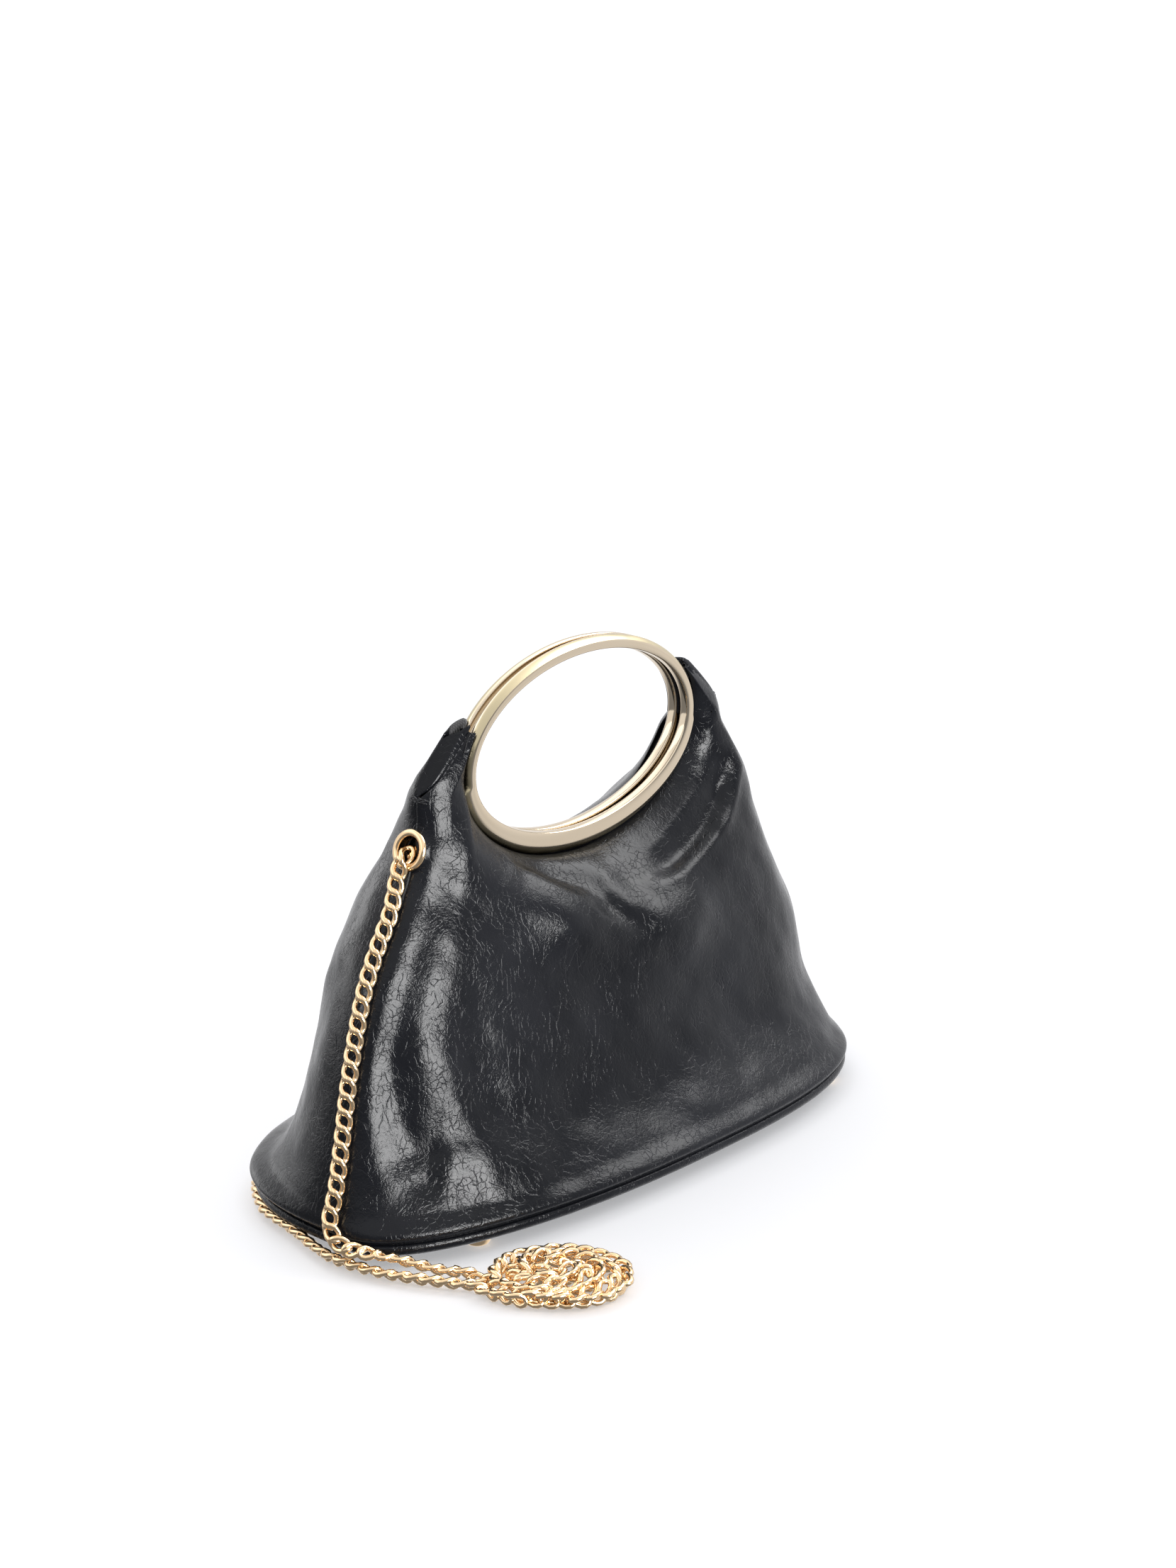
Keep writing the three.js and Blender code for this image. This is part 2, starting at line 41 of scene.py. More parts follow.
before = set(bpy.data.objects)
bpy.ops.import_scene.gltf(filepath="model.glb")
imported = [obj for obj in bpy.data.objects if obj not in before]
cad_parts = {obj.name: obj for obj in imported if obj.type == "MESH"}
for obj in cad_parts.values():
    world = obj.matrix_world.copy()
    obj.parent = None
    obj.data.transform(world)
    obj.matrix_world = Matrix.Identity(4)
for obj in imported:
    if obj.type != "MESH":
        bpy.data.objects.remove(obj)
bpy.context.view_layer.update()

# Millimetres to metres, the gap under which points merge, and the bag's own middle, where the rings stand
MM = 0.001
MERGE_UNDER = 0.0005
RING_LOW, RING_HIGH = (np.array(corner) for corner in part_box("ring_front"))
BACK_RING_LOW, BACK_RING_HIGH = (np.array(corner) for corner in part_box("ring_back"))
MIDDLE = (np.minimum(RING_LOW, BACK_RING_LOW) + np.maximum(RING_HIGH, BACK_RING_HIGH)) / 2
MIDDLE[2] = 0.0

FRONT = -1
BACK = 1

# Leather sizes in millimetres, with its rounded rim as share of the wall and bulge
WALL = 1.8
GAP = 0.15
RIM_ROWS = ((0.22, 0.07), (0.5, 0.1), (0.78, 0.07))
SLIT_HALF = 1.3
SEAM_TOP_LEFT = 131.0
SEAM_TOP_RIGHT = 130.0
SLIT_RISE = 4.0
SEAM_STEP = 3.0
SHOULDER_START = 0.56
EDGE_DEPTH = 3.7
SHOULDER_FALL = {FRONT: 1.15, BACK: 1.8}
LOW_TOP = 40.0
LOW_SQUARE = 2.7
REACH_BLEND = 1.3
BASE_CALM = 14.0
FOLD_CALM = 8.0
FINE_BASE_CALM = 10.0
FINE_SEAM_CALM = 36
FINE_EDGE_CALM = 0.6

# Grid of a panel: rows low down, up the wall and over the shoulder, and columns from seam to seam
LOW_ROWS = 34
WALL_ROWS = 62
SHOULDER_ROWS = 50
ROW_SPREAD = 1.5
PANEL_COLUMNS = 264

# Rings: an oval, slim at the top and thick at the bottom
RING_HALF_WIDTH = 54.6
RING_HALF_HEIGHT = 33.8
RING_MIDDLE = 131.0
RING_DEPTH = 3.6
RING_APART = 1.6
RING_THIN = 4.2
RING_THICK = 7.4
RING_SWELL = 1.4
RING_SECTION = (
    (-1.0, -0.55), (-1.0, 0.5), (-0.88, 0.9), (-0.6, 1.0), (-0.1, 1.0), (0.28, 0.97), (0.5, 0.72),
    (0.78, 0.3), (0.97, -0.15), (1.0, -0.6), (0.86, -0.93), (0.5, -1.0), (-0.5, -1.0), (-0.86, -0.93),
)
RING_ROUND = 2.8
RING_NEAR = 1.0
RING_STEPS = 320
RING_CORNERS = 48
SECTION_STEPS = 12
BEVEL_FROM = 0.36
BEVEL_DEPTH = -0.3
RING_SLIT_LEFT = 1.9
RING_SLIT_RIGHT = 0.8
RING_STEP_FROM = -0.05
RING_STEP_TO = -0.12

# Horns of the panels: the scoop under the ring, the slit between them and the band of the back one
SCOOP_GAP = -0.3
HORN_SHARE = 0.056
SLIT_STILL = 0.97
SLIT_LEAST = 0.02
SLIT_FROM = 129.5
SLIT_TO = 147.5
SLIT_IN = 49.4
BAND_TUCK = 0.3
BAND_LIP = 0.35
BAND_STEPS = 10
BAND_TOP = 148.2
BAND_RISE = 6.0
BAND_HORN = 0.3
BAND_TURN = 2.0
BAND_START = 0.03
HORN_TOP = {FRONT: 146.8, BACK: 145.0}
SCOOP_FROM = {FRONT: 153.5, BACK: 150.0}
SCOOP_TO = {FRONT: 386.5, BACK: 390.0}

# Body sections from the base up: half-lengths, depths, places of the side seams, squareness of corners
SECTION_COLUMNS = ("height", "left", "right", "front", "back",
                   "seam_left", "seam_right", "square_left", "square_right", "square_back")
SECTION_ROWS = np.array([
    (8.3, 121.3, 109.0, 54.4, 60.0, -16.0, 5.0, 2.25, 2.9, 3.0),
    (11.0, 123.4, 109.8, 55.6, 61.8, -16.0, 5.0, 2.25, 2.9, 3.0),
    (16.0, 121.6, 107.6, 50.4, 55.8, -15.5, 6.0, 2.2, 2.8, 2.55),
    (32.0, 116.0, 105.0, 39.0, 50.8, -13.5, 8.0, 2.1, 2.6, 2.25),
    (55.0, 108.5, 102.2, 32.2, 51.0, -10.5, 10.0, 2.05, 2.6, 2.1),
    (80.0, 97.5, 92.8, 25.5, 51.0, -7.0, 11.0, 2.0, 2.6, 2.0),
    (98.0, 84.5, 84.5, 21.5, 45.0, -4.5, 11.0, 2.05, 2.7, 2.0),
    (107.0, 78.0, 80.5, 19.0, 40.0, -3.0, 10.0, 2.1, 2.8, 2.05),
    (122.0, 72.2, 72.6, 16.0, 31.0, -1.0, 8.0, 2.1, 2.6, 2.1),
    (131.0, 70.4, 68.0, 14.0, 25.0, 0.0, 2.5, 2.1, 2.4, 2.1),
    (140.0, 63.2, 61.2, 12.0, 15.0, 0.0, 1.0, 2.1, 2.3, 2.1),
    (148.0, 55.0, 54.0, 9.0, 7.0, 0.0, 0.0, 2.1, 2.2, 2.1),
])

# Broad forms of the two panels: a line, how wide it is and how far out or in it stands
BROAD_FORMS = (
    {"side": FRONT, "x0": -60, "z0": 112, "x1": -30, "z1": 88, "width": 10, "out": 3.0},
    {"side": FRONT, "x0": -30, "z0": 88, "x1": 22, "z1": 72, "width": 11, "out": 3.2},
    {"side": FRONT, "x0": 6, "z0": 94, "x1": 50, "z1": 116, "width": 12, "out": -3.0},
    {"side": FRONT, "x0": -62, "z0": 80, "x1": -66, "z1": 26, "width": 20, "out": 2.4},
    {"side": FRONT, "x0": 20, "z0": 48, "x1": 50, "z1": 34, "width": 14, "out": -2.0},
    {"side": BACK, "x0": -40, "z0": 96, "x1": 40, "z1": 96, "width": 12, "out": -3.0},
    {"side": BACK, "x0": 0, "z0": 96, "x1": 46, "z1": 122, "width": 16, "out": -7.5},
    {"side": BACK, "x0": -70, "z0": 70, "x1": -80, "z1": 28, "width": 14, "out": -3.0},
    {"side": BACK, "x0": 72, "z0": 74, "x1": 84, "z1": 30, "width": 14, "out": -3.0},
)

# Sharper folds: points on the leather as x, y, z and out, and how far the fold fades to either hand
FINE_FOLDS = (
    {"name": "pull from left horn", "side": FRONT, "left": 3.2, "right": 10.0, "crest": 1.35, "points": (
        (-57.2, -7.8, 122.0, 0.3), (-50.2, -7.5, 113.0, 0.0), (-44.7, -9.0, 106.9, 0.2),
        (-40.6, -11.6, 102.1, 1.3), (-34.5, -13.6, 98.0, 2.7), (-29.9, -16.7, 94.5, 3.0),
        (-24.1, -20.1, 90.5, 2.6), (-17.9, -23.8, 85.5, 1.8), (-10.9, -27.1, 79.9, 1.4),
        (-0.3, -29.9, 73.2, 0.8), (10.4, -31.0, 66.7, 0.0))},
    {"name": "hollow under the ring", "side": FRONT, "left": 5.0, "right": 5.0, "crest": 2.0, "points": (
        (-40.0, -8.0, 106.0, 0.0), (-32.0, -11.0, 101.0, -1.6), (-22.0, -14.0, 97.0, -2.2),
        (-12.0, -17.0, 92.0, -1.4), (-4.0, -18.0, 88.0, 0.0))},
    {"name": "second pull", "side": FRONT, "left": 8.0, "right": 5.0, "crest": 1.8, "points": (
        (-5.8, -10.0, 94.0, 0.2), (-4.0, -17.1, 89.1, 1.1), (-0.8, -23.7, 83.2, 1.5),
        (6.5, -28.6, 77.0, 0.8), (14.7, -31.1, 71.5, 0.4), (26.6, -30.5, 65.9, 0.0))},
    {"name": "valley between the pulls", "side": FRONT, "left": 4.5, "right": 6.0, "crest": 2.0, "points": (
        (-16.0, -20.0, 89.0, 0.0), (-9.0, -24.0, 83.5, -1.2), (-1.0, -28.0, 78.0, -1.0),
        (8.0, -30.0, 72.0, 0.0))},
    {"name": "crescent dent", "side": FRONT, "left": 3.4, "right": 7.0, "crest": 1.8, "points": (
        (66.0, -6.5, 117.0, 0.0), (62.5, -9.0, 108.5, -1.2), (56.0, -12.0, 101.0, -2.8),
        (47.4, -14.0, 95.0, -3.4), (37.5, -15.5, 91.0, -3.2), (26.5, -17.0, 88.6, -2.6),
        (13.0, -18.0, 87.5, 0.0))},
    {"name": "crescent upper rim", "side": FRONT, "left": 3.0, "right": 2.2, "crest": 1.6, "points": (
        (61.4, -7.0, 114.4, 0.0), (55.0, -7.6, 109.0, 0.7), (45.6, -8.6, 102.8, 0.9),
        (36.6, -9.7, 98.4, 0.9), (27.0, -11.5, 94.5, 0.6), (13.5, -13.8, 91.4, 0.0))},
    {"name": "crescent lower rim", "side": FRONT, "left": 2.4, "right": 4.0, "crest": 1.6, "points": (
        (68.6, -5.1, 116.7, 0.0), (68.8, -8.5, 108.1, 1.0), (64.5, -12.1, 101.3, 1.3),
        (56.7, -15.3, 95.4, 1.3), (46.9, -17.9, 90.6, 1.2), (35.4, -19.8, 87.0, 1.1),
        (26.2, -21.1, 85.1, 0.9), (14.7, -21.5, 84.4, 0.5), (3.2, -17.2, 88.1, 0.0))},
    {"name": "ridge beside the seam", "side": FRONT, "left": 6.0, "right": 4.0, "crest": 1.8, "points": (
        (-67.3, -2.6, 131.9, 0.2), (-69.0, -5.1, 122.8, 0.9), (-70.6, -7.4, 114.8, 1.1),
        (-75.5, -7.9, 107.2, 1.2), (-84.6, -9.2, 94.3, 1.3), (-93.2, -10.1, 83.4, 1.3),
        (-99.0, -9.6, 76.0, 1.3), (-103.9, -10.9, 64.9, 1.2), (-107.6, -13.5, 54.8, 0.9),
        (-112.1, -15.3, 41.6, 0.0))},
    {"name": "valley beside the seam", "side": FRONT, "left": 6.5, "right": 9.5, "crest": 2.0, "points": (
        (-64.6, -6.0, 127.0, 0.0), (-65.8, -8.2, 118.0, -0.8), (-70.0, -9.6, 108.0, -1.1),
        (-81.1, -10.2, 95.8, -1.6), (-88.5, -12.5, 84.0, -2.0), (-94.6, -14.2, 73.6, -2.3),
        (-101.2, -17.0, 58.3, -2.4), (-101.5, -20.5, 45.2, -2.2), (-102.0, -25.1, 33.6, -1.6),
        (-101.9, -29.3, 25.7, -0.7), (-100.0, -35.0, 18.0, 0.0))},
    {"name": "low left bulge", "side": FRONT, "left": 11.0, "right": 11.0, "crest": 2.0, "points": (
        (-96.0, -24.0, 28.0, 0.0), (-89.0, -29.0, 26.0, 1.8), (-80.0, -34.0, 25.0, 2.4),
        (-68.0, -39.0, 25.0, 1.4), (-54.0, -42.0, 26.0, 0.0))},
    {"name": "right of the ring", "side": FRONT, "left": 5.0, "right": 5.0, "crest": 2.0, "points": (
        (49.0, -6.0, 107.0, 0.0), (54.0, -6.0, 113.0, 1.0), (58.0, -5.0, 119.0, 1.4),
        (59.5, -4.5, 125.0, 1.2), (59.0, -4.0, 132.0, 0.0))},
    {"name": "right corner", "side": FRONT, "left": 12.0, "right": 8.0, "crest": 2.0, "points": (
        (60.0, -6.0, 136.0, 0.0), (64.0, -8.0, 128.0, 0.7), (68.0, -9.0, 120.0, 1.1),
        (73.0, -9.0, 111.0, 1.0), (78.0, -9.0, 102.0, 0.5), (82.0, -9.0, 94.0, 0.0))},
    {"name": "left corner", "side": FRONT, "left": 9.0, "right": 18.0, "crest": 2.0, "points": (
        (-60.5, -8.0, 124.0, 0.0), (-60.5, -10.8, 114.0, 0.6), (-64.5, -12.5, 104.0, 1.0),
        (-71.0, -14.0, 92.0, 1.5), (-80.0, -17.0, 72.3, 2.2), (-85.0, -19.0, 58.0, 2.4),
        (-85.0, -24.0, 44.0, 2.2), (-83.0, -30.0, 32.0, 1.6), (-80.0, -42.0, 15.0, 0.0))},
)

# Gentle unevenness of the leather: wavelengths and heights in millimetres
RIPPLES = ({"seed": 11, "waves": 26, "shortest": 22.0, "longest": 46.0, "height": 0.32},
           {"seed": 5, "waves": 34, "shortest": 8.0, "longest": 18.0, "height": 0.07})

# Base tray: its widest outline and its profile, as height and how far in
BASE_WIDE = {"left": 122.5, "right": 110.2, "front": 55.6, "back": 61.2, "seam_left": -16.0,
             "seam_right": 5.0, "square_left": 2.25, "square_right": 2.9, "square_back": 3.0}
BASE_OUTER = (
    (3.0, 8.0), (3.05, 6.4), (3.4, 4.6), (3.85, 3.0), (4.5, 1.8), (5.3, 0.9), (6.2, 0.5), (7.0, 0.55),
    (7.6, 0.85), (8.0, 1.3),
)
BASE_INNER = ((8.0, 2.7), (7.6, 3.0), (6.4, 3.2), (5.6, 4.2), (5.2, 5.2), (4.9, 7.0), (4.8, 9.0))
BASE_SHRINK = (0.8, 0.55, 0.3, 0.12)
BASE_STEPS = 240

# Leather sleeves over the back ring at the horns' tips, as angles about the ring
SLEEVES = (("horn_sleeve_left", 153.8, 184.0), ("horn_sleeve_right", 26.2, -4.0))
SLEEVE_OUT = 0.75
SLEEVE_HIDDEN = 0.45
SLEEVE_JOIN = 1.3
SLEEVE_WALL = 0.65
SLEEVE_LAP = {"from": -0.95, "over": 0.5}
SLEEVE_MEET = {"from": 0.3, "over": 0.7}
SLEEVE_STEPS = 28
SLEEVE_CORNERS = 32

# Metal fittings: profiles as radius and height, and the leather's room round an eyelet's barrel
EYELET_HEIGHT = 114.5
EYELET_PROFILE = (
    (4.15, -3.0), (4.55, -3.0), (4.7, 0.5), (5.6, 0.62), (6.25, 0.95), (6.5, 1.5), (6.3, 2.05),
    (5.85, 2.4), (5.35, 2.5), (4.85, 2.4), (4.4, 2.05), (4.18, 1.5), (4.15, 0.8),
)
EYELET_SIDES = 64
EYELET_STEPS = 3
EYELET_PUSH = 4.75
EYELET_ROUND = 6
EYELET_ROOM = {"deep": 16.0, "deep_fade": 6.0, "wide": 14.0, "wide_fade": 4.0}
FOOT_PROFILE = (
    (0.0, 0.0), (2.4, 0.0), (3.1, 0.12), (3.7, 0.5), (4.05, 1.0), (4.2, 1.6), (4.2, 2.3), (4.05, 2.6),
    (0.0, 2.7),
)
FOOT_SIDES = 48
FOOT_NODES = ("foot_front_left", "foot_front_right", "foot_back_left", "foot_back_right")

# Chain: how it leaves an eyelet, as out and down, hangs beside the seams and lies on the floor
HANG_START = ((-4.0, -0.2), (0.4, 0.8), (3.6, 3.4), (4.0, 7.6))
HANG_FLAT = {"left": (-0.866, -0.5, 0.1), "right": (0.9, -0.3, 0.1)}
CHAIN_OFF = 2.7
HANG_HEIGHTS = (97, 88, 78, 66, 52, 36, 22, 13)
LEFT_FLOOR = (
    (-126.0, -21.0, 8.8), (-122.6, -28.5, 7.4), (-115.5, -37.0, 4.4), (-109.8, -45.0, 2.2),
    (-104.6, -54.3, 1.5),
)
RIGHT_FLOOR = (
    (-124.6, -14.0, 1.5), (-124.0, -23.0, 1.5), (-121.8, -33.0, 1.5), (-118.2, -42.0, 1.5),
    (-113.8, -51.0, 1.5), (-109.6, -59.2, 1.5),
)
CHAIN_ROUND = -1.6
CHAIN_REST = 1.5
ROUND_STEPS = 11
ROUND_FROM = 0.3
ROUND_TO = 3.0
LANDING = {"near": 2.0, "high": 6.0, "far": 9.0, "low": 2.0}

# Coil: its middle, turn and flatness, and the chain's ways in and out as degrees and radius
COIL_X = -90.0
COIL_Y = -74.0
COIL_TURN = -48.0
COIL_FLAT = 0.8
COIL_OUTER = (
    (212, 22.4), (245, 21.4), (280, 20.8), (315, 20.6), (350, 20.5), (385, 20.5), (420, 20.4),
    (455, 20.2), (490, 19.6), (525, 18.2), (560, 16.2), (595, 14.8), (630, 14.0), (665, 13.7),
    (700, 13.5), (735, 13.4), (770, 13.2), (805, 12.8), (840, 12.0), (875, 10.6), (910, 8.8), (950, 7.4),
    (990, 6.8), (1040, 6.3), (1100, 5.2),
)
COIL_INNER = (
    (210, 18.8), (245, 17.6), (280, 17.2), (315, 17.0), (350, 17.0), (385, 17.0), (420, 16.9),
    (455, 16.6), (490, 15.8), (525, 14.2), (560, 12.4), (595, 11.2), (630, 10.5), (665, 10.2),
    (700, 10.0), (735, 9.8), (770, 9.4), (805, 8.6), (840, 7.4), (880, 5.6), (920, 4.0), (970, 2.6),
)
COIL_SEED = 3
COIL_REACH = {"far": 20.0, "fade": 6.0, "heap": 8.0, "heap_fade": 10.0}
COIL_LEAN = 1.0
COIL_HEAP = 2.2
COIL_STRAY = 0.9
STRAND_LEAN = 0.7
STRAND_RISE = 1.9
LOOSE_BLEND = (0.35, 0.3, 0.35)
LOOSE_LEAN = {"strand": 0.12, "coil": 0.3, "heap": 0.75}
LYING = {"from": 3.0, "over": 9.0}
LINK_LIFT = 0.28
LINK_TURN = math.radians(20)
LINK_STEPS = 16
LINK_SIDES = 6
ROUTE_STEPS = 10

# Stitches: up the front horns' hems, and bar tacks across the tops of the side seams
HEM_COLUMN = 2
HEM_RISE = 1.5
HEM_PITCH = 2.3
HEM_SINK = 0.12
TACK_HEIGHT = 129.3
TACK_PROUD = 0.12
TACK_FALL = 0.22
TACK_SPREAD = (-3.0, -1.2, 0.6, 2.2)
TACK_ROWS = ({"rise": -0.5, "shift": 0.0, "slant": 0.12}, {"rise": 0.0, "shift": 0.6, "slant": -0.2},
             {"rise": 0.5, "shift": -0.3, "slant": 0.25})
TACK_SPLAY = -0.3
STITCH_SIDES = 6
STITCH_RINGS = 7

# Leather's finish: warps as scale and amount, noises, depths in millimetres and nets of creases
LEATHER_GLOSS = 0.18
BENT_WARPS = ((45.0, 0.01), (210.0, 0.0022))
FINE_WARPS = ((120.0, 0.004), (520.0, 0.0012))
STEEP_TURN = (0.35, 0.25, 0.0)
SLOPED_TURN = (0.3, 0.95, 0.4)
CREASE_STRETCH = (1.0, 1.0, 0.28)
CREASE_DULL = 0.15
CREASE_NOISE = {"detail": 3.0, "rough": 0.6}
CRUMPLE_NOISE = {"scale": 170.0, "detail": 5.0, "rough": 0.66}
CRUMPLE_DEPTH = 1.4
GRAIN_NOISE = {"scale": 950.0, "detail": 3.0, "rough": 0.7}
# The bevel's darker, more olive colour is painted shade, the dark leather's reflection painted into the
# metal. Its rougher polish is the real satin finish.
GRAIN_DEPTH = 0.25
PATCH_NOISE = {"scale": 18.0, "detail": 4.0, "rough": 0.6}
PATCH_TONE = (0.35, 0.7)
PATCH_SHINE = (0.3, 0.72)
PALER = {"times": 1.6, "plus": 0.001}
SHINE_SPREAD = (-0.04, 0.06)
CREASE_NETS = (
    {"way": "bent", "lines": 150.0, "thin": 0.024, "spots": 170.0, "from": 0.5, "to": 0.64, "depth": 0.16},
    {"way": "fine", "lines": 420.0, "thin": 0.07, "spots": 130.0, "from": 0.4, "to": 0.6, "depth": 0.14},
    {"way": "steep", "lines": 190.0, "thin": 0.03, "spots": 75.0, "from": 0.52, "to": 0.68, "depth": 0.15},
    {"way": "sloped", "lines": 170.0, "thin": 0.03, "spots": 80.0, "from": 0.48, "to": 0.64, "depth": 0.16},
)

# Finishes of the metals, lining, thread and floor, with depths in millimetres
SMEAR_NOISE = {"scale": 34.0, "detail": 4.0, "rough": 0.6}
SMEAR_RANGE = (0.3, 0.75)
SMEAR_WARM = (0.97, 0.93, 0.86)
POLISH_SPREAD = (0.75, 1.5)
HAIR_STRETCH = (1.0, 9.0, 1.0)
HAIR_NOISE = {"scale": 900.0, "detail": 3.0, "rough": 0.7}
HAIR_DEPTH = 0.06
LINING_TURNS = ((0.0, 0.0, 0.785), (0.0, 0.785, -0.785))
LINING_WAVE = {"scale": 420.0, "distortion": 0.6}
LINING_BUMP = 0.5
LINING_DEPTH = 0.3
LINING_COLOURS = ((0.006, 0.006, 0.007), (0.02, 0.019, 0.02))
LINING_ROUGHNESS = 0.85
LINING_SHEEN = 0.15
THREAD_WAVE = {"scale": 900.0, "distortion": 1.5}
THREAD_BUMP = 0.6
THREAD_DEPTH = 0.15
THREAD_COLOURS = ((0.006, 0.006, 0.007), (0.022, 0.022, 0.025))
THREAD_ROUGHNESS = 0.42
FLOOR_NOISE = {"scale": 240.0, "detail": 3.0}
FLOOR_TOOTH = 0.995
FLOOR_ROUGHNESS = 0.9
FLOOR_GLOSS = 0.1
FLOOR_LIGHT = (0.97, 0.98, 1.0, 1.0)
# The bevel's metal is a darker, olive copy of the ring's: painted shade and painted reflection of the
# leather.
METALS = {
    "champagne_metal": {"part": "ring", "scratch": 0.06},
    "champagne_bevel": {"part": "bevel", "scratch": 0.1},
    "warm_gold": {"part": "chain", "scratch": 0.08},
}

# Camera in the bag's millimetres, and lights, with soft boxes in metres that spare some pieces
CAMERA_EYE = (-734.6, -666.6, 438.2)
CAMERA_AIM = (5.82, 0.0, 115.74)
SENSOR = 36.0
FAR_CLIP = 100.0
TOP_ANGLE = 120.0
TOP_TILT = (-6.0, -10.0)
BOX_AIM = (0, 0, 60)
SOFT_BOXES = (
    {"name": "front_box", "azimuth": -7, "elevation": 13, "away": 1.3, "wide": 0.6, "tall": 0.6,
     "shine": 26.0, "spares": ("ring_",)},
    {"name": "left_box", "azimuth": -170, "elevation": 6, "away": 1.6, "wide": 1.3, "tall": 0.45,
     "shine": 1.9, "spares": ("ring_", "curb_", "eyelet_", "foot_")},
    {"name": "right_box", "azimuth": 70, "elevation": 46, "away": 1.6, "wide": 1.0, "tall": 0.8,
     "shine": 6.5, "spares": ()},
    {"name": "metal_fill", "azimuth": -128, "elevation": 24, "away": 1.6, "wide": 1.9, "tall": 1.6,
     "shine": 0.8, "spares": ("front_", "back_", "base_", "horn_", "thread_")},
)
WORLD = {"towards": (0.9, 0.38, 0.1), "from": -0.25, "to": 0.55,
         "dim": (0.26, 0.265, 0.28), "bright": (1.0, 1.0, 1.02)}


def to_frame(points):
    """Bag millimetres to the frame's metres."""
    return np.asarray(points, float) * MM + MIDDLE


def ease(t):
    t = np.clip(t, 0.0, 1.0)
    return t * t * (3.0 - 2.0 * t)


def mix(a, b, t):
    return a + (b - a) * t


def section_value(key, height):
    """Smooth value of one column of the section table at each height."""
    column = SECTION_ROWS[:, SECTION_COLUMNS.index(key)]
    heights = SECTION_ROWS[:, 0]
    last = len(heights) - 1
    before = np.maximum(np.arange(last + 1) - 1, 0)
    after = np.minimum(np.arange(last + 1) + 1, last)
    slope = (column[after] - column[before]) / (heights[after] - heights[before])
    height = np.asarray(height, float)
    i = np.clip(np.searchsorted(heights, height, side="left") - 1, 0, last - 1)
    span = heights[i + 1] - heights[i]
    t = np.clip((height - heights[i]) / span, 0.0, 1.0)
    t2 = t * t
    t3 = t2 * t
    ends = column[i] * (2 * t3 - 3 * t2 + 1) + column[i + 1] * (3 * t2 - 2 * t3)
    return ends + span * (slope[i] * (t3 - 2 * t2 + t) + slope[i + 1] * (t3 - t2))


def half_length(height, sign):
    return np.where(np.asarray(sign) < 0, section_value("left", height), section_value("right", height))


def squareness(side, height, sign):
    if side == BACK:
        return section_value("square_back", height)
    left, right = section_value("square_left", height), section_value("square_right", height)
    return np.where(np.asarray(sign) < 0, left, right)


def seam_line(height, reach):
    return mix(section_value("seam_left", height), section_value("seam_right", height), (reach + 1) / 2)


def edge_opening(height, sign):
    top = np.where(np.asarray(sign) < 0, SEAM_TOP_LEFT, SEAM_TOP_RIGHT)
    return mix(GAP / 2, SLIT_HALF, ease((height - top) / SLIT_RISE))


def oval_point(angle, out):
    """Point of the rings' oval at an angle, moved outwards by a distance, as x and z."""
    x = RING_HALF_WIDTH * np.cos(angle)
    z = RING_HALF_HEIGHT * np.sin(angle)
    nx = x / RING_HALF_WIDTH ** 2
    nz = z / RING_HALF_HEIGHT ** 2
    size = np.hypot(nx, nz)
    return x + nx / size * out, RING_MIDDLE + z + nz / size * out


def upper_edge(side, u):
    """Upper edge of a panel: a blunt horn, the scoop under the ring, and the other horn."""
    share = np.clip((u - HORN_SHARE) / (1 - 2 * HORN_SHARE), 0, 1)
    angle = np.radians(mix(SCOOP_FROM[side], SCOOP_TO[side], share))
    x, z = oval_point(angle, SCOOP_GAP)
    near = np.minimum(u, 1 - u) / HORN_SHARE
    sign = np.where(u < 0.5, -1.0, 1.0)
    horn_z = HORN_TOP[side]
    horn_x = sign * half_length(np.full_like(u, horn_z), sign)
    turn = np.minimum(near, 1) * math.pi / 2
    edge_x = np.where(near < 1, mix(horn_x, x, 1 - np.cos(turn)), x)
    return edge_x, np.where(near < 1, mix(horn_z, z, np.sin(turn)), z)


def broad_out(side, x, z):
    total = np.zeros_like(x)
    for form in BROAD_FORMS:
        if form["side"] != side:
            continue
        dx = form["x1"] - form["x0"]
        dz = form["z1"] - form["z0"]
        t = np.clip(((x - form["x0"]) * dx + (z - form["z0"]) * dz) / (dx * dx + dz * dz), 0, 1)
        away = np.hypot(x - form["x0"] - t * dx, z - form["z0"] - t * dz)
        total += form["out"] * np.exp(-((away / form["width"]) ** 2))
    return total


def panel_rows(low, mid, shoulder):
    """Rows of a panel as height, share of the way above the low rows, and bend over the shoulder."""
    climb = np.linspace(0, 1, low) ** ROW_SPREAD
    first = SECTION_ROWS[0, 0]
    height = np.concatenate([mix(first, LOW_TOP, climb), np.full(mid + shoulder, LOW_TOP)])
    bend = np.arange(1, shoulder + 1) / shoulder * (math.pi / 2)
    share = np.concatenate([np.zeros(low), SHOULDER_START * np.arange(1, mid + 1) / mid,
                            SHOULDER_START + (1 - SHOULDER_START) * np.sin(bend)])
    return height[:, None], share[:, None], np.concatenate([np.zeros(low + mid), bend])[:, None]


def slit_reach(height, sign):
    """Share of the half-length at which the front horn meets the back one, which wraps round to it."""
    low = half_length(np.full_like(height, SLIT_FROM), sign)
    x = mix(low, SLIT_IN, np.clip((height - SLIT_FROM) / (SLIT_TO - SLIT_FROM), 0, 1))
    return np.where(height > SLIT_FROM, np.minimum(x / half_length(height, sign), 1.0), 1.0)


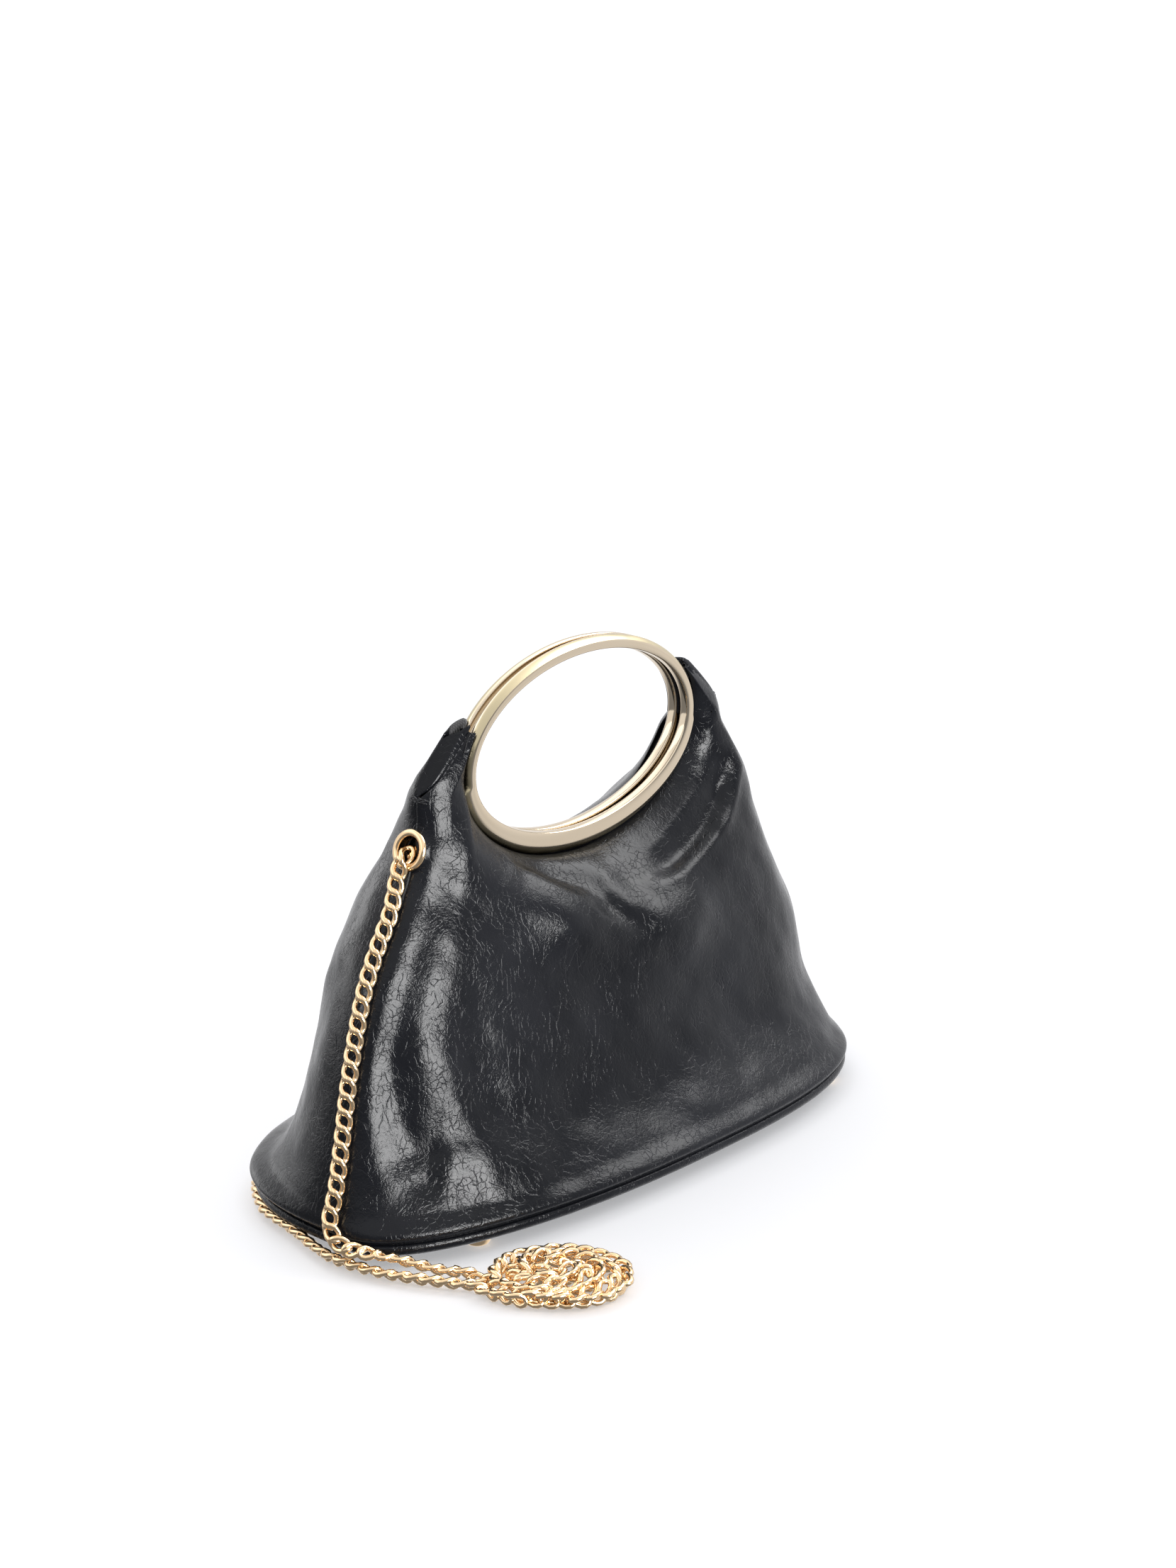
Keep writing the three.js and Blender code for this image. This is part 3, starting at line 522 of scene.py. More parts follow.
def wall_depth(side, reach, height, bend, horn):
    """Fore and aft place of a panel's outer face."""
    sign = np.where(reach < 0, -1.0, 1.0)
    square = squareness(side, height, sign)
    x = reach * half_length(height, sign)
    seam = seam_line(height, reach)
    opening = edge_opening(height, sign)
    full = section_value("front" if side == FRONT else "back", height) - side * seam
    crown = np.maximum(1 - np.abs(reach) ** square, 0) ** (1 / square)
    near_base = np.minimum(1, (height - SECTION_ROWS[0, 0]) / BASE_CALM)
    calm = (1 - np.abs(reach) ** FOLD_CALM) * np.cos(bend) * near_base
    y = seam + side * (opening + (full - opening) * crown + broad_out(side, x, height) * calm)
    edge = seam + side * mix(opening, EDGE_DEPTH, horn)
    return np.where(bend > 0, edge + (y - edge) * np.maximum(np.cos(bend), 0) ** SHOULDER_FALL[side], y)


def band_strip(column, sign, y, height, share, bend):
    """Columns of the back horn's band, which wraps round from the side seam to the front horn."""
    strip = []
    for k in range(1, BAND_STEPS + 1):
        part = k / BAND_STEPS
        top = mix(HORN_TOP[BACK], BAND_TOP, math.sin(part * math.pi / 2))
        rise = ease((height[:, column] - SLIT_FROM) / BAND_RISE)
        h = mix(height[:, column], mix(LOW_TOP, top, share[:, 0]), rise)
        meet = slit_reach(h, sign)
        turned = sign * (1 - (1 - meet) * part)
        y_front = wall_depth(FRONT, turned, h, bend[:, column], BAND_HORN * part)
        y_front = y_front + BAND_TUCK - BAND_LIP * math.sin(part * math.pi)
        weight = ease(part * BAND_TURN) * ease((1 - meet) / BAND_START)
        y_band = mix(y[:, column], y_front, weight)
        strip.append(np.stack([turned * half_length(h, sign), y_band, h], -1))
    return np.stack(strip, 1)


def panel_grid(side, rows, columns):
    """Outer face of a panel before its fine folds, with each point's reach towards the side seams."""
    height, share, bend = rows
    u = np.linspace(0, 1, columns)[None, :]
    top_x, top_z = upper_edge(side, u)
    height = np.where(share == 0, height, mix(LOW_TOP, top_z, share))
    cosine = np.cos(math.pi * u)
    low_reach = -np.sign(cosine) * np.abs(cosine) ** (2 / LOW_SQUARE)
    top_reach = top_x / half_length(top_z, np.sign(top_x))
    reach = np.clip(mix(low_reach, top_reach, share ** REACH_BLEND), -1, 1)
    bend = bend + 0 * reach
    horn = np.minimum(1, np.minimum(u, 1 - u) / HORN_SHARE) + 0 * reach
    if side == FRONT:
        sign = np.where(reach < 0, -1.0, 1.0)
        level = (height - RING_MIDDLE) / RING_HALF_HEIGHT
        oval = np.sqrt(np.maximum(1 - level ** 2, 0)) * RING_HALF_WIDTH
        still = np.minimum(oval / half_length(height, sign), SLIT_STILL)
        far = np.abs(reach)
        share_out = (slit_reach(height, sign) - still) / (1 - still)
        reach = sign * np.where(far > still, still + (far - still) * np.maximum(share_out, SLIT_LEAST), far)
    y = wall_depth(side, reach, height, bend, horn)
    x = reach * half_length(height, reach)
    grid = np.stack([x, y, height], -1)
    if side == FRONT:
        return grid, reach, bend
    edges = ((0, -1.0), (-1, 1.0))
    ends = [band_strip(column, sign, y, height, share, bend) for column, sign in edges]
    grid = np.concatenate([ends[0][:, ::-1], grid, ends[1]], 1)
    pad = ((0, 0), (BAND_STEPS, BAND_STEPS))
    return grid, np.pad(reach, pad, mode="edge"), np.pad(bend, pad, mode="edge")


def grid_normals(grid, side):
    across = np.gradient(grid, axis=1)
    upward = np.gradient(grid, axis=0)
    normal = np.cross(across, upward)
    size = np.linalg.norm(normal, axis=-1, keepdims=True)
    return normal / np.maximum(size, 1e-9) * (1.0 if side == FRONT else -1.0)


def ripple_height(points):
    """Gentle unevenness from a sum of waves, the same each time."""
    total = np.zeros(points.shape[:-1])
    for ripple in RIPPLES:
        random = np.random.default_rng(ripple["seed"])
        direction = random.normal(size=(ripple["waves"], 3))
        direction /= np.linalg.norm(direction, axis=1, keepdims=True)
        length = random.uniform(ripple["shortest"], ripple["longest"], ripple["waves"])
        phase = random.uniform(0, 2 * math.pi, ripple["waves"])
        for k in range(ripple["waves"]):
            wave = np.sin(points @ direction[k] * (2 * math.pi / length[k]) + phase[k])
            total += wave * ripple["height"] / math.sqrt(ripple["waves"] / 2)
    return total


def fold_height(side, grid, normal):
    """Sum of the sharper folds, measured along the leather from each fold's line."""
    flat = grid.reshape(-1, 3)
    flat_normal = normal.reshape(-1, 3)
    total = np.zeros(len(flat))
    for fold in FINE_FOLDS:
        if fold["side"] != side:
            continue
        table = np.array(fold["points"], float)
        line = np.array([flat[((flat - p) ** 2).sum(1).argmin()] for p in table[:, :3]])
        best = np.full(len(flat), 1e9)
        height = np.zeros(len(flat))
        hand = np.zeros(len(flat))
        for a, b, out_a, out_b in zip(line[:-1], line[1:], table[:-1, 3], table[1:, 3]):
            step = b - a
            t = np.clip((flat - a) @ step / max(step @ step, 1e-9), 0, 1)
            away = flat - a - t[:, None] * step
            far = np.linalg.norm(away, axis=1)
            side_step = np.cross(np.broadcast_to(step, flat_normal.shape), flat_normal)
            turn = (side_step * away).sum(1)
            closer = far < best
            best = np.where(closer, far, best)
            height = np.where(closer, mix(out_a, out_b, ease(t)), height)
            hand = np.where(closer, turn, hand)
        width = np.where(hand > 0, fold["right"], fold["left"])
        total += height * np.exp(-((best / width) ** fold["crest"]))
    return total.reshape(grid.shape[:2])


def seam_frame(sign, height):
    """Place and outward direction of a point on the side seam."""
    rise = half_length(height + SEAM_STEP, sign) - half_length(height - SEAM_STEP, sign)
    out = np.array([sign, 0.0, -float(rise) / (2 * SEAM_STEP)])
    place = np.array([sign * float(half_length(height, sign)), float(seam_line(height, sign)), height])
    return place, out / np.linalg.norm(out)


def push_from_eyelets(points):
    """Leather drawn back round the eyelets' barrels."""
    moved = points.copy()
    for sign in (-1.0, 1.0):
        place, out = seam_frame(sign, EYELET_HEIGHT)
        offset = moved - place
        along = offset @ out
        across = offset - along[..., None] * out
        far = np.linalg.norm(across, axis=-1)
        pushed = (EYELET_PUSH ** EYELET_ROUND + far ** EYELET_ROUND) ** (1 / EYELET_ROUND)
        deep = ease((EYELET_ROOM["deep"] + along) / EYELET_ROOM["deep_fade"])
        near = deep * ease((EYELET_ROOM["wide"] - far) / EYELET_ROOM["wide_fade"])
        scale = np.where(far > 1e-6, pushed / np.maximum(far, 1e-6) - 1.0, 0.0) * near
        moved += across * scale[..., None]
    return moved


def ring_widths(angle):
    """Inner and outer reach of the ring's section from the oval, at an angle."""
    sine = np.sin(angle)
    inner = mix(RING_THIN, RING_THICK, ((1 - sine) / 2) ** RING_SWELL)
    thin = ease((sine - RING_STEP_TO) / (RING_STEP_FROM - RING_STEP_TO))
    slit = np.where(np.cos(angle) < 0, RING_SLIT_LEFT, RING_SLIT_RIGHT)
    return inner, slit * thin * (1 - np.maximum(0, sine))


def push_from_rings(points, side):
    """Leather eased out of the way of its ring."""
    moved = points.copy()
    angle = np.arctan2((moved[..., 2] - RING_MIDDLE) / RING_HALF_HEIGHT, moved[..., 0] / RING_HALF_WIDTH)
    inner, outer = ring_widths(angle)
    edge_x, edge_z = oval_point(angle, np.zeros_like(angle))
    far_x, far_z = oval_point(angle, np.ones_like(angle))
    nx, nz = far_x - edge_x, far_z - edge_z
    out = (moved[..., 0] - edge_x) * nx + (moved[..., 2] - edge_z) * nz
    middle = side * (RING_APART + RING_DEPTH) / 2
    level = np.abs(moved[..., 1] - middle) / (RING_DEPTH / 2 + GAP)
    bulge = np.maximum(1 - np.minimum(level, 1) ** RING_ROUND, 0) ** (1 / RING_ROUND)
    limit = -(inner + outer) / 2 + bulge * ((inner - outer) / 2 + GAP)
    short = np.where((level < 1) & (out < limit) & (out > -inner - RING_NEAR), limit - out, 0.0)
    moved[..., 0] += nx * short
    moved[..., 2] += nz * short
    return moved


def new_mesh(name, verts, faces, materials, marks=None):
    """Closed mesh at the origin, doubles merged and faces outwards; marks give each face's material."""
    mesh = bpy.data.meshes.new(name)
    mesh.from_pydata([tuple(v) for v in verts], [], [tuple(int(i) for i in f) for f in faces])
    for material in materials:
        mesh.materials.append(material)
    if marks is not None:
        mesh.polygons.foreach_set("material_index", np.asarray(marks, np.int32))
    work = bmesh.new()
    work.from_mesh(mesh)
    bmesh.ops.remove_doubles(work, verts=work.verts, dist=MERGE_UNDER * MM)
    if work.calc_volume(signed=True) < 0:
        bmesh.ops.reverse_faces(work, faces=work.faces)
    work.to_mesh(mesh)
    work.free()
    mesh.polygons.foreach_set("use_smooth", [True] * len(mesh.polygons))
    thing = bpy.data.objects.new(name, mesh)
    bpy.context.scene.collection.objects.link(thing)
    return thing


def close_band(outer, inner):
    """Below the slits the band's columns lie on the side seam, so their inner points do too."""
    for seam, band in ((BAND_STEPS, range(BAND_STEPS)), (-BAND_STEPS - 1, range(-BAND_STEPS, 0))):
        for column in band:
            same = np.linalg.norm(outer[:, column] - outer[:, seam], axis=-1) < MERGE_UNDER
            outer[same, column] = outer[same, seam]
            inner[same, column] = inner[same, seam]


def panel_shell(side, settings):
    """Outer and inner faces of a panel, with its folds and clear of the eyelets and its ring."""
    rows = panel_rows(LOW_ROWS, WALL_ROWS, SHOULDER_ROWS)
    grid, reach, bend = panel_grid(side, rows, PANEL_COLUMNS)
    normal = grid_normals(grid, side)
    near_base = ease((grid[..., 2] - SECTION_ROWS[0, 0]) / FINE_BASE_CALM)
    calm = (1 - np.abs(reach) ** FINE_SEAM_CALM) * np.cos(bend) ** FINE_EDGE_CALM * near_base
    lift = fold_height(side, grid, normal) * settings.fold_depth
    lift += ripple_height(grid) * settings.ripple_depth
    outer = grid + normal * (lift * calm)[..., None]
    normal = grid_normals(outer, side)
    inner = outer - normal * WALL
    sign = np.where(outer[..., 0] < 0, -1.0, 1.0)
    ends = outer[..., 0] / half_length(outer[..., 2], sign)
    least = seam_line(outer[..., 2], ends) + side * edge_opening(outer[..., 2], sign)
    keep = np.minimum if side == FRONT else np.maximum
    inner[..., 1] = np.where(outer[..., 2] < SLIT_FROM, keep(inner[..., 1], least), inner[..., 1])
    inner[0, :, 2] = outer[0, :, 2]
    if side == BACK:
        close_band(outer, inner)
    outer = push_from_rings(push_from_eyelets(outer), side)
    inner = push_from_rings(push_from_eyelets(inner), side)
    return outer, inner


def panel_mesh(name, side, settings, leather, lining):
    """Panel's mesh, with its inner face lined."""
    outer, inner = panel_shell(side, settings)
    count, columns = outer.shape[:2]
    size = count * columns
    index = np.arange(size).reshape(count, columns)
    quads = np.stack([index[:-1, :-1], index[:-1, 1:], index[1:, 1:], index[1:, :-1]], -1).reshape(-1, 4)
    loop = np.concatenate([index[0, :-1], index[:-1, -1], index[-1, :0:-1], index[:0:-1, 0]])
    inside = np.empty_like(outer)
    inside[0], inside[-1] = outer[1], outer[-2]
    inside[1:-1] = outer[1:-1]
    inside[1:-1, 0], inside[1:-1, -1] = outer[1:-1, 1], outer[1:-1, -2]
    away = (outer - inside).reshape(-1, 3)[loop]
    away /= np.maximum(np.linalg.norm(away, axis=1, keepdims=True), 1e-6)
    out_edge = outer.reshape(-1, 3)[loop]
    in_edge = inner.reshape(-1, 3)[loop]
    verts = [outer.reshape(-1, 3), inner.reshape(-1, 3)]
    rims = [loop]
    start = 2 * size
    for share, bulge in RIM_ROWS:
        verts.append(mix(out_edge, in_edge, share) + away * bulge * WALL)
        rims.append(np.arange(start, start + len(loop)))
        start += len(loop)
    rims.append(loop + size)
    faces = [quads, quads[:, ::-1] + size]
    for a, b in zip(rims[:-1], rims[1:]):
        faces.append(np.stack([a, b, np.roll(b, -1), np.roll(a, -1)], -1))
    faces = np.concatenate(faces)
    lined = np.zeros(len(faces))
    lined[len(quads):2 * len(quads)] = 1
    return new_mesh(name, to_frame(np.concatenate(verts)), faces, [leather, lining], lined)


def base_outline(turn, out):
    """Point on the base's outline at a turn from the right end, moved out by a distance."""
    cosine, sine = np.cos(turn), np.sin(turn)
    half = np.where(cosine < 0, BASE_WIDE["left"], BASE_WIDE["right"]) + out
    front = np.where(cosine < 0, BASE_WIDE["square_left"], BASE_WIDE["square_right"])
    power = 2 / np.where(sine > 0, BASE_WIDE["square_back"], front)
    reach = np.sign(cosine) * np.abs(cosine) ** power
    seam = mix(BASE_WIDE["seam_left"], BASE_WIDE["seam_right"], (reach + 1) / 2)
    depth = np.where(sine > 0, BASE_WIDE["back"] - seam, BASE_WIDE["front"] + seam) + out
    return reach * half, seam + depth * np.sign(sine) * np.abs(sine) ** power


def stacked_loops(loops, low, high):
    """Verts and faces of a closed form from loops of points, with a point at either end."""
    count = len(loops[0])
    verts = np.concatenate([np.array([low])] + list(loops) + [np.array([high])])
    faces = []
    ring = np.arange(count)
    after = np.roll(ring, -1)
    faces += [(0, 1 + b, 1 + a) for a, b in zip(ring, after)]
    for k in range(len(loops) - 1):
        a = 1 + k * count
        b = a + count
        faces += [(a + i, a + j, b + j, b + i) for i, j in zip(ring, after)]
    end = 1 + (len(loops) - 1) * count
    faces += [(len(verts) - 1, end + i, end + j) for i, j in zip(ring, after)]
    return verts, faces


def base_mesh(name, steps, leather, lining):
    """Base tray's mesh, with its inner face lined."""
    turn = np.arange(steps) / steps * 2 * math.pi
    loops = []
    for height, inset in BASE_OUTER + BASE_INNER:
        x, y = base_outline(turn, -inset)
        loops.append(np.stack([x, y, np.full(steps, height)], -1))
    under = [loops[0] * (share, share, 1) for share in reversed(BASE_SHRINK)]
    floor = [loops[-1] * (share, share, 1) for share in BASE_SHRINK]
    loops = under + loops + floor
    verts, faces = stacked_loops(loops, (0, 0, BASE_OUTER[0][0]), (0, 0, BASE_INNER[-1][0]))
    first = steps * (1 + len(BASE_SHRINK) + len(BASE_OUTER) + 1)
    lined = np.zeros(len(faces))
    lined[first:] = 1
    return new_mesh(name, to_frame(verts), faces, [leather, lining], lined)


def ring_section(corners):
    """Section of a ring, from -1 to 1 each way: flat face, bevel towards the leather and rounded edges."""
    outline = route_points(RING_SECTION, SECTION_STEPS, closed=True)
    closed = np.concatenate([outline, outline[:1]])
    along = run_lengths(closed)
    place = np.arange(corners) / corners * along[-1]
    return np.interp(place, along, closed[:, 0]), np.interp(place, along, closed[:, 1])


def ring_loops(side, angles, corners, grow):
    """Loops of the ring's section at each angle."""
    across, deep = ring_section(corners)
    middle = side * (RING_APART + RING_DEPTH) / 2
    loops = []
    for angle in angles:
        inner, outer = ring_widths(angle)
        half = (inner - outer) / 2 + grow
        x, z = oval_point(angle, -(inner + outer) / 2 + half * across)
        loops.append(np.stack([x, middle + side * (RING_DEPTH / 2 + grow) * deep, z], -1))
    return np.array(loops)


def tube_faces(count, corners):
    """Faces of a tube through loops of corners, whose last loop joins the first."""
    faces = []
    for i in range(count):
        a = i * corners
        b = (i + 1) % count * corners
        for k in range(corners):
            j = (k + 1) % corners
            faces.append((a + k, a + j, b + j, b + k))
    return faces


def sleeve_mesh(name, first, last, leather):
    """Short leather sleeve drawn over the back ring at a horn's tip."""
    angles = mix(first, last, np.arange(SLEEVE_STEPS) / (SLEEVE_STEPS - 1))
    across = ring_section(SLEEVE_CORNERS)[0]
    lap = ease((across - SLEEVE_LAP["from"]) / SLEEVE_LAP["over"])
    meet = ease((across - SLEEVE_MEET["from"]) / SLEEVE_MEET["over"])
    grow = mix(-SLEEVE_HIDDEN, SLEEVE_OUT, lap) + SLEEVE_JOIN * meet
    outside = ring_loops(BACK, angles, SLEEVE_CORNERS, grow)
    inside = ring_loops(BACK, angles, SLEEVE_CORNERS, grow - SLEEVE_WALL)
    loops = np.concatenate([outside, inside[::-1]])
    return new_mesh(name, to_frame(loops.reshape(-1, 3)), tube_faces(len(loops), SLEEVE_CORNERS), [leather])


def lathe_loops(profile, sides):
    turn = np.arange(sides) / sides * 2 * math.pi
    return [np.stack([r * np.cos(turn), r * np.sin(turn), np.full(sides, h)], -1) for r, h in profile]


def run_lengths(points):
    """Length along a line up to each of its points."""
    step = np.linalg.norm(np.diff(points, axis=0), axis=1)
    return np.concatenate([[0], np.cumsum(step)])


def read_off(place, along, rows):
    """Rows of three values, read off at places along their line."""
    return np.stack([np.interp(place, along, rows[:, k]) for k in range(3)], -1)


def between(t, low, high, first, last):
    """Value at t on the straight way from first at low to last at high."""
    return (high - t) / (high - low) * first + (t - low) / (high - low) * last


def route_points(points, steps, closed=False):
    """Centripetal curve through points, with the same number of steps between each two."""
    points = np.asarray(points, float)
    if closed:
        ring = np.concatenate([points[-1:], points, points[:2]])
    else:
        ring = np.concatenate([2 * points[:1] - points[1:2], points, 2 * points[-1:] - points[-2:-1]])
    out = []
    for p0, p1, p2, p3 in zip(ring[:-3], ring[1:-2], ring[2:-1], ring[3:]):
        t0 = 0.0
        t1 = t0 + max(np.linalg.norm(p1 - p0), 1e-4) ** 0.5
        t2 = t1 + max(np.linalg.norm(p2 - p1), 1e-4) ** 0.5
        t3 = t2 + max(np.linalg.norm(p3 - p2), 1e-4) ** 0.5
        t = mix(t1, t2, np.arange(steps) / steps)[:, None]
        a1 = between(t, t0, t1, p0, p1)
        a2 = between(t, t1, t2, p1, p2)
        a3 = between(t, t2, t3, p2, p3)
        b1 = between(t, t0, t2, a1, a2)
        b2 = between(t, t1, t3, a2, a3)
        out.append(between(t, t1, t2, b1, b2))
    if not closed:
        out.append(points[-1:])
    return np.concatenate(out)


def evenly(points, pitch):
    """Points one pitch apart along a line, its direction at each and how far along they are."""
    along = run_lengths(points)
    count = int(along[-1] / pitch)
    place = (along[-1] - count * pitch) / 2 + np.arange(count + 1) * pitch
    direction = read_off(place + pitch / 2, along, points) - read_off(place - pitch / 2, along, points)
    direction /= np.linalg.norm(direction, axis=1, keepdims=True)
    return read_off(place, along, points), direction, place


def hang_points(sign):
    """Chain from inside the eyelet, over its rim and down beside the seam."""
    place, out = seam_frame(sign, EYELET_HEIGHT)
    down = np.cross((0, 1, 0), out) * sign
    points = [place + out * far + down * drop for far, drop in HANG_START]
    for height in HANG_HEIGHTS:
        spot, away = seam_frame(sign, height)
        points.append(spot + away * CHAIN_OFF)
    return points


def coil_points(table):
    """Chain's way into the coil, from turns and radii."""
    turn = np.radians([row[0] for row in table])
    radius = np.array([row[1] for row in table])
    tilt = math.radians(COIL_TURN)
    p = radius * np.cos(turn)
    q = radius * COIL_FLAT * np.sin(turn)
    x = COIL_X + p * math.cos(tilt) - q * math.sin(tilt)
    y = COIL_Y + p * math.sin(tilt) + q * math.cos(tilt)
    return list(np.stack([x, y, np.full(len(x), CHAIN_REST)], -1))


def chain_line():
    """The whole chain from the left eyelet, through the coil, round behind the bag to the right eyelet."""
    left = hang_points(-1.0) + list(np.array(LEFT_FLOOR))
    hang = hang_points(1.0)
    last = hang[-1]
    steps = (("near", "high"), ("far", "low"))
    land = [last + (0, LANDING[aside], LANDING[level] - last[2]) for aside, level in steps]
    turns = mix(ROUND_FROM, ROUND_TO, np.arange(ROUND_STEPS + 1) / ROUND_STEPS)
    x, y = base_outline(turns, CHAIN_ROUND)
    behind = list(np.stack([x, y, np.full(len(x), CHAIN_REST)], -1))
    right = hang + land + behind + list(np.array(RIGHT_FLOOR))
    return left + coil_points(COIL_INNER) + coil_points(COIL_OUTER)[::-1] + right[::-1]


def chain_places(pitch):
    """Each link's place, direction and flat side."""
    line = route_points(chain_line(), ROUTE_STEPS)
    spots, along, _ = evenly(line, pitch)
    random = np.random.default_rng(COIL_SEED)
    low = 1 - ease((spots[:, 2] - LYING["from"]) / LYING["over"])
    hanging = np.where(spots[:, :1] < 0, HANG_FLAT["left"], HANG_FLAT["right"])
    away = spots[:, :2] - np.array([COIL_X, COIL_Y])
    far = np.linalg.norm(away, axis=1)
    in_coil = 1 - ease((far - COIL_REACH["far"]) / COIL_REACH["fade"])
    inner = 1 - ease((far - COIL_REACH["heap"]) / COIL_REACH["heap_fade"])
    loose = np.convolve(random.normal(size=len(spots) + 2), LOOSE_BLEND, "valid")
    first = np.where(np.arange(len(spots)) < np.argmin(far), -1.0, 1.0)
    stray = mix(LOOSE_LEAN["strand"], mix(LOOSE_LEAN["coil"], LOOSE_LEAN["heap"], inner), in_coil)
    lean = mix(STRAND_LEAN * first, COIL_LEAN, in_coil) + loose * stray
    aside = np.cross(along, (0, 0, 1.0))
    aside /= np.maximum(np.linalg.norm(aside, axis=1, keepdims=True), 1e-6)
    lying = np.array([0, 0, 1.0]) * np.cos(lean)[:, None] + aside * np.sin(lean)[:, None]
    flat = mix(hanging, lying, low[:, None])
    spots[:, 2] += low * (LINK_LIFT + STRAND_RISE * np.abs(np.sin(lean)) + in_coil * inner * COIL_HEAP)
    spots[:, :2] += aside[:, :2] * (loose * in_coil * low * COIL_STRAY)[:, None]
    flat -= (flat * along).sum(1)[:, None] * along
    flat /= np.linalg.norm(flat, axis=1, keepdims=True)
    along = along * math.cos(LINK_TURN) + np.cross(flat, along) * math.sin(LINK_TURN)
    return spots, along, flat


def stitch_places(settings):
    """Places of the bar tacks across the side seams' tops and of the stitches up the front horns' hems."""
    spots, along, flat = [], [], []
    for sign in (-1.0, 1.0):
        for row in TACK_ROWS:
            place, out = seam_frame(sign, TACK_HEIGHT + row["rise"])
            for y in TACK_SPREAD:
                aside = y + row["shift"]
                spots.append(place + out * (TACK_PROUD - abs(aside) * TACK_FALL) + (0, aside, 0))
                along.append((sign * TACK_SPLAY * np.sign(y), 1.0, row["slant"]))
                flat.append(out)
    outer, _ = panel_shell(FRONT, settings)
    normal = grid_normals(outer, FRONT)
    for column in (HEM_COLUMN, -1 - HEM_COLUMN):
        high = outer[:, column, 2] > SLIT_FROM + HEM_RISE
        line, line_out = outer[high, column], normal[high, column]
        even, ahead, place = evenly(line, HEM_PITCH)
        outward = read_off(place, run_lengths(line), line_out)
        spots.extend(even - outward * HEM_SINK)
        along.extend(ahead)
        flat.extend(outward)
    return np.array(spots), np.array(along), np.array(flat)


def group_tree(name):
    tree = bpy.data.node_groups.new(name, "GeometryNodeTree")
    tree.interface.new_socket("Geometry", in_out="INPUT", socket_type="NodeSocketGeometry")
    tree.interface.new_socket("Geometry", in_out="OUTPUT", socket_type="NodeSocketGeometry")
    return tree


def add_input(tree, name, value):
    socket = tree.interface.new_socket(name, in_out="INPUT", socket_type="NodeSocketFloat")
    socket.default_value = value
    return socket.identifier


def add_node(tree, kind, inputs=(), **settings):
    """Node with its settings, and with its inputs linked to an output or set to a value."""
    node = tree.nodes.new(kind)
    for key, value in settings.items():
        setattr(node, key, value)
    for key, value in dict(inputs).items():
        if isinstance(value, bpy.types.NodeSocket):
            tree.links.new(value, node.inputs[key])
        else:
            node.inputs[key].default_value = value
    return node


def math_node(tree, operation, *values):
    return add_node(tree, "ShaderNodeMath", enumerate(values), operation=operation).outputs[0]


def place_on_points(tree, points, shape, material):
    """Shape set on each point by its along and flat directions, then made real and given its material."""
    turns = {}
    for attribute, axis, pivot in (("along", "X", "AUTO"), ("flat", "Z", "X")):
        named = add_node(tree, "GeometryNodeInputNamedAttribute", data_type="FLOAT_VECTOR")
        named.inputs["Name"].default_value = attribute
        turns["Vector"] = named.outputs["Attribute"]
        align = add_node(tree, "FunctionNodeAlignRotationToVector", turns, axis=axis, pivot_axis=pivot)
        turns["Rotation"] = align.outputs["Rotation"]
    place = add_node(tree, "GeometryNodeInstanceOnPoints",
                     {"Points": points, "Instance": shape, "Rotation": turns["Rotation"]})
    real = add_node(tree, "GeometryNodeRealizeInstances", {"Geometry": place.outputs["Instances"]})
    smooth = add_node(tree, "GeometryNodeSetShadeSmooth", {"Geometry": real.outputs["Geometry"]})
    finish = add_node(tree, "GeometryNodeSetMaterial",
                      {"Geometry": smooth.outputs["Geometry"], "Material": material})
    add_node(tree, "NodeGroupOutput", {"Geometry": finish.outputs["Geometry"]})


def link_tree(material):
    """Node tree that bends one twisted curb link and sets it on every point."""
    tree = group_tree("curb_links")
    sockets = {"half_length": add_input(tree, "Half length", 0.003),
               "half_width": add_input(tree, "Half width", 0.0019),
               "wire": add_input(tree, "Wire radius", 0.0007),
               "twist": add_input(tree, "Twist", 0.78)}
    start = tree.nodes.new("NodeGroupInput").outputs
    circle = add_node(tree, "GeometryNodeCurvePrimitiveCircle", {"Resolution": LINK_STEPS, "Radius": 1.0})
    spot = tree.nodes.new("GeometryNodeInputPosition")
    split = add_node(tree, "ShaderNodeSeparateXYZ", {"Vector": spot.outputs["Position"]}).outputs
    turned = math_node(tree, "MULTIPLY", split["X"], -1.0)
    angle = math_node(tree, "MULTIPLY", turned, start["Twist"])
    wide = math_node(tree, "MULTIPLY", split["Y"], start["Half width"])
    joined = add_node(tree, "ShaderNodeCombineXYZ", {
        "X": math_node(tree, "MULTIPLY", split["X"], start["Half length"]),
        "Y": math_node(tree, "MULTIPLY", wide, math_node(tree, "COSINE", angle)),
        "Z": math_node(tree, "MULTIPLY", wide, math_node(tree, "SINE", angle))})
    bent = add_node(tree, "GeometryNodeSetPosition",
                    {"Geometry": circle.outputs["Curve"], "Position": joined.outputs["Vector"]})
    section = add_node(tree, "GeometryNodeCurvePrimitiveCircle",
                       {"Resolution": LINK_SIDES, "Radius": start["Wire radius"]})
    wire = add_node(tree, "GeometryNodeCurveToMesh",
                    {"Curve": bent.outputs["Geometry"], "Profile Curve": section.outputs["Curve"]})
    place_on_points(tree, start["Geometry"], wire.outputs["Mesh"], material)
    return tree, sockets


